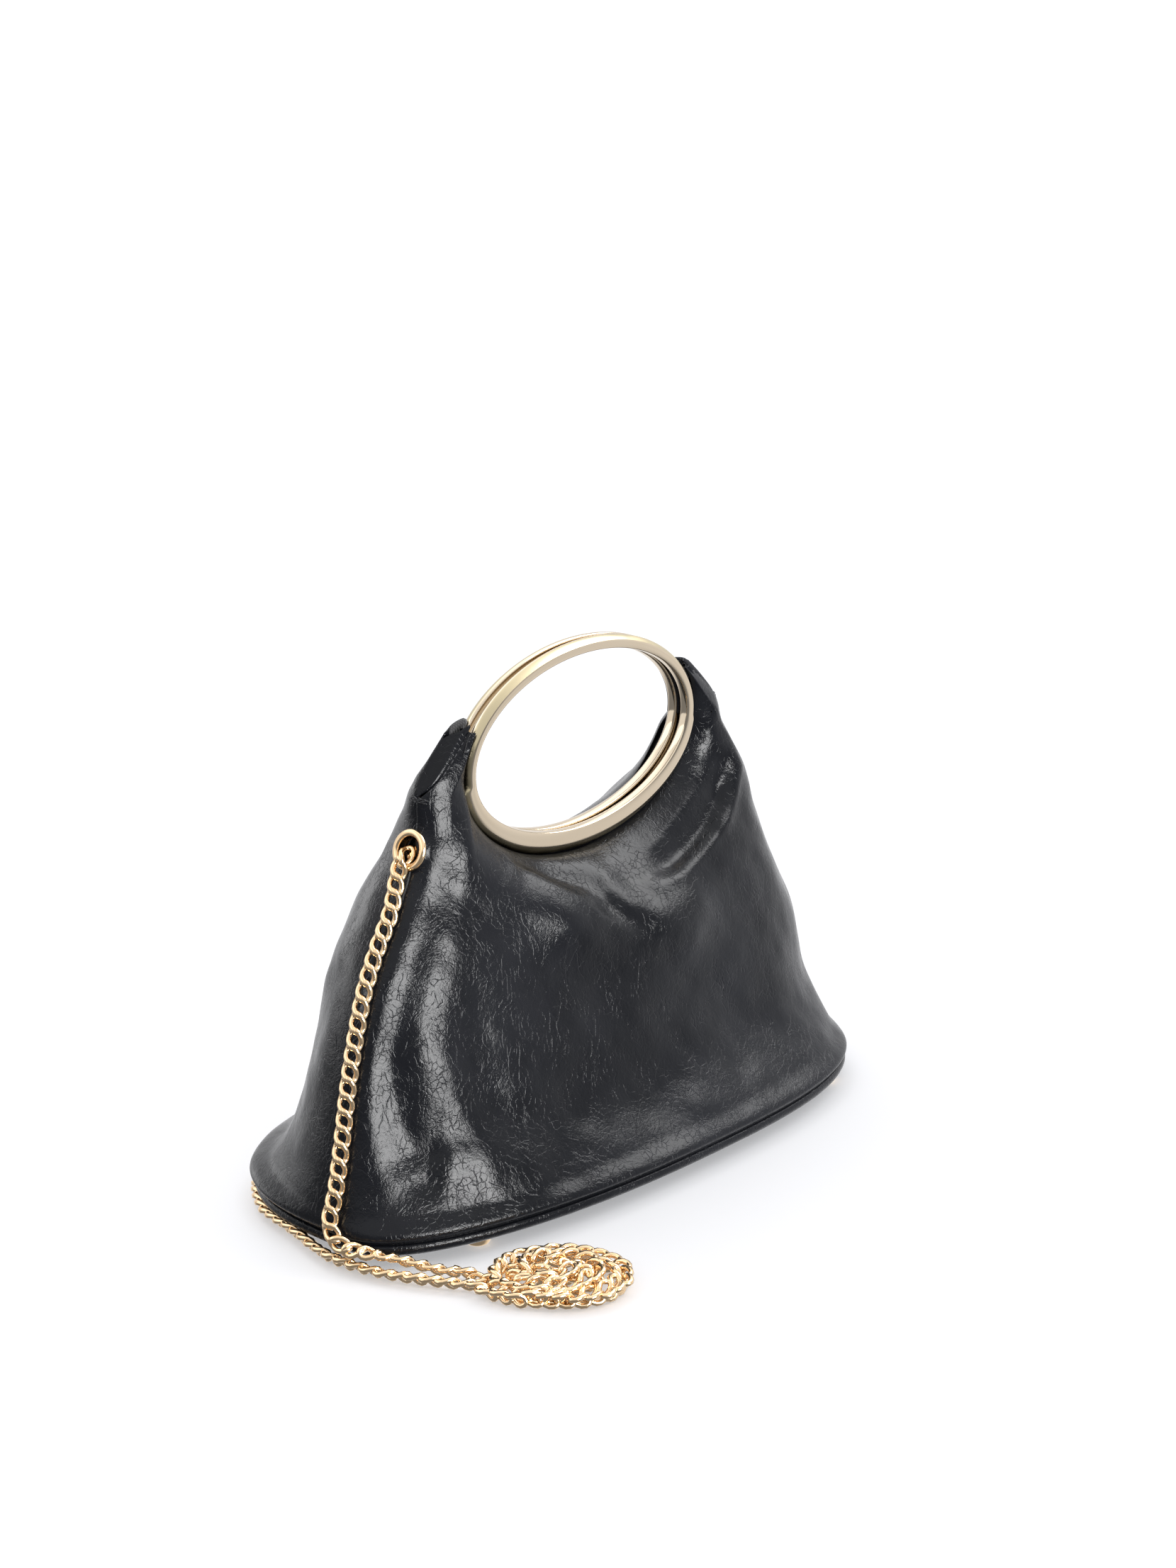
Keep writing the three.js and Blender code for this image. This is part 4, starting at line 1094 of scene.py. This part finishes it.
def stitch_tree(material):
    """Node tree that sets one plump stitch of thread on every point."""
    tree = group_tree("thread_stitches")
    sockets = {"length": add_input(tree, "Stitch length", 0.0024),
               "thread": add_input(tree, "Thread radius", 0.0003)}
    start = tree.nodes.new("NodeGroupInput").outputs
    ball = add_node(tree, "GeometryNodeMeshUVSphere",
                    {"Segments": STITCH_SIDES, "Rings": STITCH_RINGS, "Radius": start["Thread radius"]})
    share = math_node(tree, "DIVIDE", start["Stitch length"], start["Thread radius"])
    size = add_node(tree, "ShaderNodeCombineXYZ",
                    {"X": math_node(tree, "MULTIPLY", share, 0.5), "Y": 1.0, "Z": 1.0})
    turned = add_node(tree, "GeometryNodeTransform",
                      {"Geometry": ball.outputs["Mesh"], "Rotation": (0.0, math.pi / 2, 0.0)})
    drawn_out = add_node(tree, "GeometryNodeTransform",
                         {"Geometry": turned.outputs["Geometry"], "Scale": size.outputs["Vector"]})
    place_on_points(tree, start["Geometry"], drawn_out.outputs["Geometry"], material)
    return tree, sockets


def grown_on_points(name, tree, values, spots, along, flat):
    """Points with directions, dressed by a node tree and turned into a plain mesh."""
    mesh = bpy.data.meshes.new(name)
    mesh.from_pydata([tuple(p) for p in to_frame(spots)], [], [])
    for key, rows in (("along", along), ("flat", flat)):
        attribute = mesh.attributes.new(key, "FLOAT_VECTOR", "POINT")
        attribute.data.foreach_set("vector", np.asarray(rows, np.float32).ravel())
    thing = bpy.data.objects.new(name, mesh)
    bpy.context.scene.collection.objects.link(thing)
    grow = thing.modifiers.new(name, "NODES")
    grow.node_group = tree
    for identifier, value in values.items():
        grow[identifier] = value
    graph = bpy.context.evaluated_depsgraph_get()
    plain = bpy.data.meshes.new_from_object(thing.evaluated_get(graph), depsgraph=graph)
    thing.modifiers.remove(grow)
    thing.data = plain
    bpy.data.meshes.remove(mesh)
    if not plain.polygons:
        raise RuntimeError(f"{name} came out empty")
    return thing


def new_material(name):
    material = bpy.data.materials.new(name)
    material.use_nodes = True
    shader = material.node_tree.nodes["Principled BSDF"]
    return material, material.node_tree, shader


def object_coords(tree):
    return tree.nodes.new("ShaderNodeTexCoord").outputs["Object"]


def noise_node(tree, coords, scale, detail=2.0, rough=0.5):
    inputs = {"Vector": coords, "Scale": scale, "Detail": detail, "Roughness": rough}
    return add_node(tree, "ShaderNodeTexNoise", inputs)


def crack_node(tree, coords, scale):
    inputs = {"Vector": coords, "Scale": scale}
    return add_node(tree, "ShaderNodeTexVoronoi", inputs, feature="DISTANCE_TO_EDGE").outputs["Distance"]


def range_node(tree, value, low, high, to_low=0.0, to_high=1.0):
    inputs = {"Value": value, "From Min": low, "From Max": high, "To Min": to_low, "To Max": to_high}
    node = add_node(tree, "ShaderNodeMapRange", inputs, interpolation_type="SMOOTHSTEP")
    return node.outputs["Result"]


def wave_node(tree, coords, scale, distortion):
    inputs = {"Vector": coords, "Scale": scale, "Distortion": distortion}
    return add_node(tree, "ShaderNodeTexWave", inputs).outputs["Fac"]


def mapped(tree, coords, turn=(0.0, 0.0, 0.0), scale=(1.0, 1.0, 1.0)):
    inputs = {"Vector": coords, "Rotation": turn, "Scale": scale}
    return add_node(tree, "ShaderNodeMapping", inputs).outputs["Vector"]


def vector_node(tree, operation, inputs):
    return add_node(tree, "ShaderNodeVectorMath", inputs, operation=operation).outputs


def warped(tree, coords, warps):
    """Coordinates pushed about by noises in turn, so that lines run unevenly."""
    for scale, amount in warps:
        noise = noise_node(tree, coords, scale).outputs["Color"]
        shift = vector_node(tree, "SUBTRACT", {0: noise, 1: (0.5, 0.5, 0.5)})["Vector"]
        scaled = vector_node(tree, "SCALE", {0: shift, "Scale": amount})["Vector"]
        coords = vector_node(tree, "ADD", {0: coords, 1: scaled})["Vector"]
    return coords


def bump_node(tree, height, strength, depth, below=None):
    inputs = {"Height": height, "Strength": strength, "Distance": depth * MM}
    if below is not None:
        inputs["Normal"] = below
    return add_node(tree, "ShaderNodeBump", inputs).outputs["Normal"]


def colour_mix(tree, factor, first, second):
    inputs = {"Factor": factor, "A": (*first, 1.0), "B": (*second, 1.0)}
    return add_node(tree, "ShaderNodeMix", inputs, data_type="RGBA").outputs["Result"]


def leather_finish(settings):
    """Glossy black leather with broken fine creases, long soft wrinkles, a grain and worn, uneven shine."""
    material, tree, shader = new_material("crinkled_leather")
    coords = object_coords(tree)
    bent = warped(tree, coords, BENT_WARPS)
    ways = {"bent": bent,
            "fine": warped(tree, coords, FINE_WARPS),
            "steep": mapped(tree, bent, STEEP_TURN, CREASE_STRETCH),
            "sloped": mapped(tree, bent, SLOPED_TURN, CREASE_STRETCH)}
    creases = []
    for net in CREASE_NETS:
        crack = crack_node(tree, ways[net["way"]], net["lines"])
        line = range_node(tree, crack, 0.0, net["thin"], 1.0, 0.0)
        patches = noise_node(tree, coords, net["spots"], **CREASE_NOISE).outputs["Fac"]
        where = range_node(tree, patches, net["from"], net["to"])
        creases.append(math_node(tree, "MULTIPLY", line, where))
    crumple = noise_node(tree, bent, **CRUMPLE_NOISE).outputs["Fac"]
    grain = noise_node(tree, coords, **GRAIN_NOISE).outputs["Fac"]
    normal = bump_node(tree, crumple, settings.crumple, CRUMPLE_DEPTH)
    for cut, net in zip(creases, CREASE_NETS):
        uncut = math_node(tree, "SUBTRACT", 1.0, cut)
        normal = bump_node(tree, uncut, settings.crease, net["depth"], normal)
    tree.links.new(bump_node(tree, grain, settings.grain, GRAIN_DEPTH, normal), shader.inputs["Normal"])
    patch = noise_node(tree, coords, **PATCH_NOISE).outputs["Fac"]
    dark = tuple(settings.colour)
    pale = tuple(min(1.0, c * PALER["times"] + PALER["plus"]) for c in settings.colour)
    colour = colour_mix(tree, range_node(tree, patch, *PATCH_TONE), dark, pale)
    tree.links.new(colour, shader.inputs["Base Color"])
    low, high = (settings.roughness + spread for spread in SHINE_SPREAD)
    shine = range_node(tree, patch, *PATCH_SHINE, low, high)
    worn = math_node(tree, "ADD", shine, math_node(tree, "MULTIPLY", creases[0], CREASE_DULL))
    tree.links.new(worn, shader.inputs["Roughness"])
    shader.inputs["Specular IOR Level"].default_value = LEATHER_GLOSS
    return material


def lining_finish():
    """Dark woven lining."""
    material, tree, shader = new_material("woven_lining")
    coords = object_coords(tree)
    threads = [wave_node(tree, mapped(tree, coords, turn), **LINING_WAVE) for turn in LINING_TURNS]
    weave = math_node(tree, "MULTIPLY", *threads)
    tree.links.new(bump_node(tree, weave, LINING_BUMP, LINING_DEPTH), shader.inputs["Normal"])
    tree.links.new(colour_mix(tree, weave, *LINING_COLOURS), shader.inputs["Base Color"])
    shader.inputs["Roughness"].default_value = LINING_ROUGHNESS
    shader.inputs["Sheen Weight"].default_value = LINING_SHEEN
    return material


def metal_finish(name, colour, roughness, scratch):
    """Polished metal with hairline scratches, faint smears and slight colour change."""
    material, tree, shader = new_material(name)
    coords = object_coords(tree)
    smear = noise_node(tree, coords, **SMEAR_NOISE).outputs["Fac"]
    hair = noise_node(tree, mapped(tree, coords, scale=HAIR_STRETCH), **HAIR_NOISE).outputs["Fac"]
    shader.inputs["Metallic"].default_value = 1.0
    warm = tuple(c * share for c, share in zip(colour, SMEAR_WARM))
    tree.links.new(colour_mix(tree, smear, tuple(colour), warm), shader.inputs["Base Color"])
    low, high = (roughness * share for share in POLISH_SPREAD)
    tree.links.new(range_node(tree, smear, *SMEAR_RANGE, low, high), shader.inputs["Roughness"])
    tree.links.new(bump_node(tree, hair, scratch, HAIR_DEPTH), shader.inputs["Normal"])
    return material


def thread_finish():
    """Dark waxed thread with a twist."""
    material, tree, shader = new_material("waxed_thread")
    wave = wave_node(tree, object_coords(tree), **THREAD_WAVE)
    tree.links.new(colour_mix(tree, wave, *THREAD_COLOURS), shader.inputs["Base Color"])
    tree.links.new(bump_node(tree, wave, THREAD_BUMP, THREAD_DEPTH), shader.inputs["Normal"])
    shader.inputs["Roughness"].default_value = THREAD_ROUGHNESS
    return material


def floor_finish(settings):
    """Matt pale paper floor with a barely seen tooth."""
    material, tree, shader = new_material("pale_floor")
    tooth = noise_node(tree, object_coords(tree), **FLOOR_NOISE).outputs["Fac"]
    base = tuple(settings.floor_colour)
    colour = colour_mix(tree, tooth, base, tuple(c * FLOOR_TOOTH for c in base))
    tree.links.new(colour, shader.inputs["Base Color"])
    shader.inputs["Roughness"].default_value = FLOOR_ROUGHNESS
    shader.inputs["Specular IOR Level"].default_value = FLOOR_GLOSS
    shader.inputs["Emission Color"].default_value = FLOOR_LIGHT
    shader.inputs["Emission Strength"].default_value = settings.floor_glow
    return material


def material_once(name, make):
    return bpy.data.materials.get(name) or make()


def leather_material(scene):
    return material_once("crinkled_leather", lambda: leather_finish(scene.bag_leather))


def lining_material():
    return material_once("woven_lining", lining_finish)


def metal_material(scene, name):
    kind, settings = METALS[name], scene.bag_metal
    colour = getattr(settings, kind["part"] + "_colour")
    roughness = getattr(settings, kind["part"] + "_roughness")
    return material_once(name, lambda: metal_finish(name, colour, roughness, kind["scratch"]))


def settle(piece, slot, *nodes):
    """Piece carried by the body, standing for its solids, which it hides; the slot argument is not used."""
    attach(piece, "root")
    if nodes:
        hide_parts(*nodes)
    return piece


class BagLeatherSettings(bpy.types.PropertyGroup):
    """Looks of the leather"""

    colour: bpy.props.FloatVectorProperty(
        name="Colour", description="Colour of the leather", subtype="COLOR", size=3, min=0.0, max=1.0,
        default=(0.0034, 0.0037, 0.0048))
    roughness: bpy.props.FloatProperty(
        name="Roughness", description="Middle roughness of the leather's shine", subtype="FACTOR",
        min=0.05, max=1.0, default=0.17)
    crumple: bpy.props.FloatProperty(
        name="Crumple", description="Strength of the soft crumpling", subtype="FACTOR", min=0.0, max=1.0,
        default=0.15)
    crease: bpy.props.FloatProperty(
        name="Creases", description="Strength of the net of creases", subtype="FACTOR", min=0.0, max=1.0,
        default=0.38)
    grain: bpy.props.FloatProperty(
        name="Grain", description="Strength of the fine grain", subtype="FACTOR", min=0.0, max=1.0,
        default=0.36)
    fold_depth: bpy.props.FloatProperty(
        name="Fold depth", description="How strongly the sharper folds stand out", min=0.0, max=2.0,
        default=1.0)
    ripple_depth: bpy.props.FloatProperty(
        name="Ripple depth", description="How strongly the leather ripples", min=0.0, max=3.0,
        default=1.0)


class BagMetalSettings(bpy.types.PropertyGroup):
    """Looks of the rings, eyelets, feet and chain"""

    ring_colour: bpy.props.FloatVectorProperty(
        name="Ring colour", description="Colour of the rings' metal", subtype="COLOR", size=3, min=0.0,
        max=1.0, default=(0.70, 0.605, 0.475))
    ring_roughness: bpy.props.FloatProperty(
        name="Ring roughness", description="Roughness of the rings' polish", subtype="FACTOR", min=0.0,
        max=1.0, default=0.11)
    bevel_colour: bpy.props.FloatVectorProperty(
        name="Bevel colour", description="Colour of the rings' satin bevel", subtype="COLOR", size=3,
        min=0.0, max=1.0, default=(0.56, 0.49, 0.33))
    bevel_roughness: bpy.props.FloatProperty(
        name="Bevel roughness", description="Roughness of the rings' satin bevel", subtype="FACTOR",
        min=0.0, max=1.0, default=0.32)
    chain_colour: bpy.props.FloatVectorProperty(
        name="Chain colour", description="Colour of the chain's metal", subtype="COLOR", size=3, min=0.0,
        max=1.0, default=(0.86, 0.64, 0.40))
    chain_roughness: bpy.props.FloatProperty(
        name="Chain roughness", description="Roughness of the chain's polish", subtype="FACTOR", min=0.0,
        max=1.0, default=0.16)


class BagChainSettings(bpy.types.PropertyGroup):
    """Sizes of the chain's links"""

    pitch: bpy.props.FloatProperty(
        name="Pitch", description="Length that each link adds to the chain", unit="LENGTH", min=0.002,
        max=0.02, default=0.0048)
    length: bpy.props.FloatProperty(
        name="Link length", description="Length of a link outside", unit="LENGTH", min=0.003, max=0.03,
        default=0.0084)
    width: bpy.props.FloatProperty(
        name="Link width", description="Width of a link outside", unit="LENGTH", min=0.002, max=0.02,
        default=0.0056)
    wire: bpy.props.FloatProperty(
        name="Wire", description="Thickness of a link's wire", unit="LENGTH", min=0.0004, max=0.005,
        default=0.0018)
    twist: bpy.props.FloatProperty(
        name="Twist", description="Turn of a link's ends from its middle", subtype="ANGLE", min=0.0,
        max=1.6, default=math.radians(54))


class BagThreadSettings(bpy.types.PropertyGroup):
    """Sizes of the stitches"""

    length: bpy.props.FloatProperty(
        name="Stitch length", description="Length of one stitch", unit="LENGTH", min=0.0005, max=0.01,
        default=0.0019)
    thread: bpy.props.FloatProperty(
        name="Thread", description="Thickness of the thread", unit="LENGTH", min=0.0001, max=0.003,
        default=0.0006)


class BagStageSettings(bpy.types.PropertyGroup):
    """Floor, lights and camera"""

    floor_colour: bpy.props.FloatVectorProperty(
        name="Floor colour", description="Colour of the floor", subtype="COLOR", size=3, min=0.0,
        max=1.0, default=(0.62, 0.62, 0.63))
    floor_glow: bpy.props.FloatProperty(
        name="Floor glow", description="Light that the floor itself gives, as a light table does",
        min=0.0, max=2.0, default=0.38)
    floor_size: bpy.props.FloatProperty(
        name="Floor size", description="Length of the floor's side", unit="LENGTH", min=1.0, max=40.0,
        default=24.0)
    top_light: bpy.props.FloatProperty(
        name="Top light", description="Strength of the wide light overhead", min=0.0, max=20.0,
        default=1.95)
    soft_boxes: bpy.props.FloatProperty(
        name="Soft boxes", description="Strength of the soft boxes about the bag", min=0.0, max=10.0,
        default=1.0)
    lens: bpy.props.FloatProperty(
        name="Lens", description="Camera's focal length in millimetres", min=20.0, max=300.0,
        default=75.94)


class BAG_OT_panels(bpy.types.Operator):
    """Loft the two leather panels with their folds"""

    bl_idname = "bag.panels"
    bl_label = "Leather panels"

    def execute(self, context):
        leather, lining = leather_material(context.scene), lining_material()
        for name, side in (("front_panel", FRONT), ("back_panel", BACK)):
            piece = panel_mesh(name + "_leather", side, context.scene.bag_leather, leather, lining)
            settle(piece, "leather", name)
        return {"FINISHED"}


class BAG_OT_base(bpy.types.Operator):
    """Loft the base with its rolled edge"""

    bl_idname = "bag.base"
    bl_label = "Base"

    def execute(self, context):
        piece = base_mesh("base_leather", BASE_STEPS, leather_material(context.scene), lining_material())
        settle(piece, "leather", "base_panel")
        return {"FINISHED"}


class BAG_OT_rings(bpy.types.Operator):
    """Sweep the two oval rings, and the leather sleeves that hold the back one"""

    bl_idname = "bag.rings"
    bl_label = "Rings"

    def execute(self, context):
        metal = metal_material(context.scene, "champagne_metal")
        # Bevel faces take the darker, olive copy of the ring metal, which is painted shade.
        satin_and_painted_shade = metal_material(context.scene, "champagne_bevel")
        across, deep = ring_section(RING_CORNERS)
        middle = (across + np.roll(across, -1)) / 2
        bevel = (middle > BEVEL_FROM) & ((deep + np.roll(deep, -1)) / 2 > BEVEL_DEPTH)
        angles = np.arange(RING_STEPS) / RING_STEPS * 2 * math.pi
        for name, side in (("ring_front", FRONT), ("ring_back", BACK)):
            loops = ring_loops(side, angles, RING_CORNERS, 0.0)
            verts, faces = to_frame(loops.reshape(-1, 3)), tube_faces(RING_STEPS, RING_CORNERS)
            piece = new_mesh(name + "_metal", verts, faces, [metal, satin_and_painted_shade], np.tile(bevel, RING_STEPS))
            settle(piece, "ring_metal", name)
        leather = leather_material(context.scene)
        for name, first, last in SLEEVES:
            piece = sleeve_mesh(name, math.radians(first), math.radians(last), leather)
            settle(piece, "leather")
        return {"FINISHED"}


class BAG_OT_eyelets(bpy.types.Operator):
    """Turn the two rounded eyelets"""

    bl_idname = "bag.eyelets"
    bl_label = "Eyelets"

    def execute(self, context):
        metal = metal_material(context.scene, "warm_gold")
        profile = route_points(EYELET_PROFILE, EYELET_STEPS, closed=True)
        loops = np.array(lathe_loops(profile, EYELET_SIDES))
        faces = tube_faces(len(loops), EYELET_SIDES)
        for name, sign in (("eyelet_left", -1.0), ("eyelet_right", 1.0)):
            place, out = seam_frame(sign, EYELET_HEIGHT)
            spin = np.array(Vector((0, 0, 1)).rotation_difference(Vector(out)).to_matrix())
            verts = loops.reshape(-1, 3) @ spin.T + place
            piece = new_mesh(name + "_metal", to_frame(verts), faces, [metal])
            settle(piece, "chain_metal", name)
        return {"FINISHED"}


class BAG_OT_feet(bpy.types.Operator):
    """Turn the four button feet"""

    bl_idname = "bag.feet"
    bl_label = "Feet"

    def execute(self, context):
        metal = metal_material(context.scene, "warm_gold")
        loops = lathe_loops(FOOT_PROFILE[1:-1], FOOT_SIDES)
        foot, faces = stacked_loops(loops, (0, 0, FOOT_PROFILE[0][1]), (0, 0, FOOT_PROFILE[-1][1]))
        for name in FOOT_NODES:
            low, high = (np.array(corner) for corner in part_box(name))
            centre = (low + high) / 2
            verts = foot * MM + (centre[0], centre[1], 0.0)
            piece = new_mesh(name + "_metal", verts, faces, [metal])
            settle(piece, "chain_metal", name)
        return {"FINISHED"}


class BAG_OT_chain(bpy.types.Operator):
    """Lay the curb chain link by link from one eyelet to the other"""

    bl_idname = "bag.chain"
    bl_label = "Chain"

    def execute(self, context):
        chain = context.scene.bag_chain
        spots, along, flat = chain_places(chain.pitch / MM)
        tree, sockets = link_tree(metal_material(context.scene, "warm_gold"))
        values = {sockets["half_length"]: (chain.length - chain.wire) / 2,
                  sockets["half_width"]: (chain.width - chain.wire) / 2,
                  sockets["wire"]: chain.wire / 2, sockets["twist"]: chain.twist}
        piece = grown_on_points("curb_chain", tree, values, spots, along, flat)
        settle(piece, "chain_metal", "chain_left", "chain_right", "chain_coil")
        return {"FINISHED"}


class BAG_OT_stitches(bpy.types.Operator):
    """Sew the hems of the horns and tack the tops of the side seams"""

    bl_idname = "bag.stitches"
    bl_label = "Stitches"

    def execute(self, context):
        spots, along, flat = stitch_places(context.scene.bag_leather)
        thread = context.scene.bag_thread
        tree, sockets = stitch_tree(material_once("waxed_thread", thread_finish))
        values = {sockets["length"]: thread.length, sockets["thread"]: thread.thread / 2}
        piece = grown_on_points("thread_stitches", tree, values, spots, along, flat)
        settle(piece, "leather")
        return {"FINISHED"}


class BAG_OT_stage(bpy.types.Operator):
    """Set the pale floor, the studio light and the camera"""

    bl_idname = "bag.stage"
    bl_label = "Stage"

    def execute(self, context):
        scene = context.scene
        stage = scene.bag_stage
        half = stage.floor_size / 2
        mesh = bpy.data.meshes.new("floor")
        corners = [(-half, -half, 0), (half, -half, 0), (half, half, 0), (-half, half, 0)]
        mesh.from_pydata(corners, [], [(0, 1, 2, 3)])
        mesh.materials.append(floor_finish(stage))
        floor = bpy.data.objects.new("floor", mesh)
        floor.visible_glossy = False
        scene.collection.objects.link(floor)
        self.lights(scene, stage)
        self.camera(scene, stage)
        scene.view_settings.view_transform = "Standard"
        scene.view_settings.look = "None"
        return {"FINISHED"}

    def lights(self, scene, stage):
        top = bpy.data.lights.new("top_light", "SUN")
        top.energy = stage.top_light
        top.angle = math.radians(TOP_ANGLE)
        top_thing = bpy.data.objects.new("top_light", top)
        top_thing.rotation_euler = (math.radians(TOP_TILT[0]), math.radians(TOP_TILT[1]), 0)
        scene.collection.objects.link(top_thing)
        meshes = [thing for thing in scene.collection.objects if thing.type == "MESH"]
        pieces = [thing for thing in meshes if thing.name != "floor"]
        for box in SOFT_BOXES:
            lit = bpy.data.collections.new("lit_by_" + box["name"])
            for thing in pieces:
                if not thing.name.startswith(box["spares"]):
                    lit.objects.link(thing)
            self.soft_box(scene, box, stage.soft_boxes).light_linking.receiver_collection = lit
        world = bpy.data.worlds.new("studio")
        world.use_nodes = True
        scene.world = world
        tree = world.node_tree
        background = tree.nodes["Background"]
        coords = tree.nodes.new("ShaderNodeTexCoord").outputs["Generated"]
        towards = vector_node(tree, "DOT_PRODUCT", {0: coords, 1: WORLD["towards"]})["Value"]
        share = range_node(tree, towards, WORLD["from"], WORLD["to"])
        colour = colour_mix(tree, share, WORLD["dim"], WORLD["bright"])
        tree.links.new(colour, background.inputs["Color"])
        background.inputs["Strength"].default_value = 1.0

    def soft_box(self, scene, box, strength):
        """Soft box at an azimuth and elevation from the bag, with its size and how brightly it shines."""
        turn, rise = math.radians(box["azimuth"]), math.radians(box["elevation"])
        aim = Vector(to_frame(BOX_AIM))
        way = Vector((math.sin(turn) * math.cos(rise), -math.cos(turn) * math.cos(rise), math.sin(rise)))
        light = bpy.data.lights.new(box["name"], "AREA")
        light.shape = "RECTANGLE"
        light.size = box["wide"]
        light.size_y = box["tall"]
        light.energy = box["shine"] * math.pi * box["wide"] * box["tall"] * strength
        thing = bpy.data.objects.new(box["name"], light)
        thing.location = aim + way * box["away"]
        thing.rotation_euler = (-way).to_track_quat("-Z", "Y").to_euler()
        thing.visible_camera = False
        scene.collection.objects.link(thing)
        return thing

    def camera(self, scene, stage):
        lens = bpy.data.cameras.new("camera")
        lens.sensor_fit = "AUTO"
        lens.sensor_width = SENSOR
        lens.lens = stage.lens
        lens.clip_end = FAR_CLIP
        lens.dof.use_dof = False
        eye = Vector(to_frame(CAMERA_EYE))
        aim = Vector(to_frame(CAMERA_AIM))
        thing = bpy.data.objects.new("camera", lens)
        thing.location = eye
        thing.rotation_euler = (aim - eye).to_track_quat("-Z", "Y").to_euler()
        scene.collection.objects.link(thing)
        scene.camera = thing


OPERATORS = (BAG_OT_panels, BAG_OT_base, BAG_OT_rings, BAG_OT_eyelets, BAG_OT_feet, BAG_OT_chain,
             BAG_OT_stitches, BAG_OT_stage)
SETTINGS = (("bag_leather", BagLeatherSettings), ("bag_metal", BagMetalSettings),
            ("bag_chain", BagChainSettings), ("bag_thread", BagThreadSettings),
            ("bag_stage", BagStageSettings))


class BAG_PT_sidebar(bpy.types.Panel):
    """Sidebar list of the bag's pieces"""

    bl_idname = "BAG_PT_sidebar"
    bl_label = "Ring handle bag"
    bl_space_type = "VIEW_3D"
    bl_region_type = "UI"
    bl_category = "Bag"

    def draw(self, context):
        layout = self.layout
        for name, group in SETTINGS:
            box = layout.box()
            for key in group.__annotations__:
                box.prop(getattr(context.scene, name), key)
        for operator in OPERATORS:
            layout.operator(operator.bl_idname)


def register():
    for _, group in SETTINGS:
        bpy.utils.register_class(group)
    for name, group in SETTINGS:
        setattr(bpy.types.Scene, name, bpy.props.PointerProperty(type=group))
    for operator in OPERATORS:
        bpy.utils.register_class(operator)
    bpy.utils.register_class(BAG_PT_sidebar)


def unregister():
    bpy.utils.unregister_class(BAG_PT_sidebar)
    for operator in reversed(OPERATORS):
        bpy.utils.unregister_class(operator)
    for name, group in reversed(SETTINGS):
        delattr(bpy.types.Scene, name)
        bpy.utils.unregister_class(group)


def main():
    register()
    bpy.ops.bag.panels()
    bpy.ops.bag.base()
    bpy.ops.bag.rings()
    bpy.ops.bag.eyelets()
    bpy.ops.bag.feet()
    bpy.ops.bag.chain()
    bpy.ops.bag.stitches()
    bpy.ops.bag.stage()


if __name__ == "__main__":
    main()
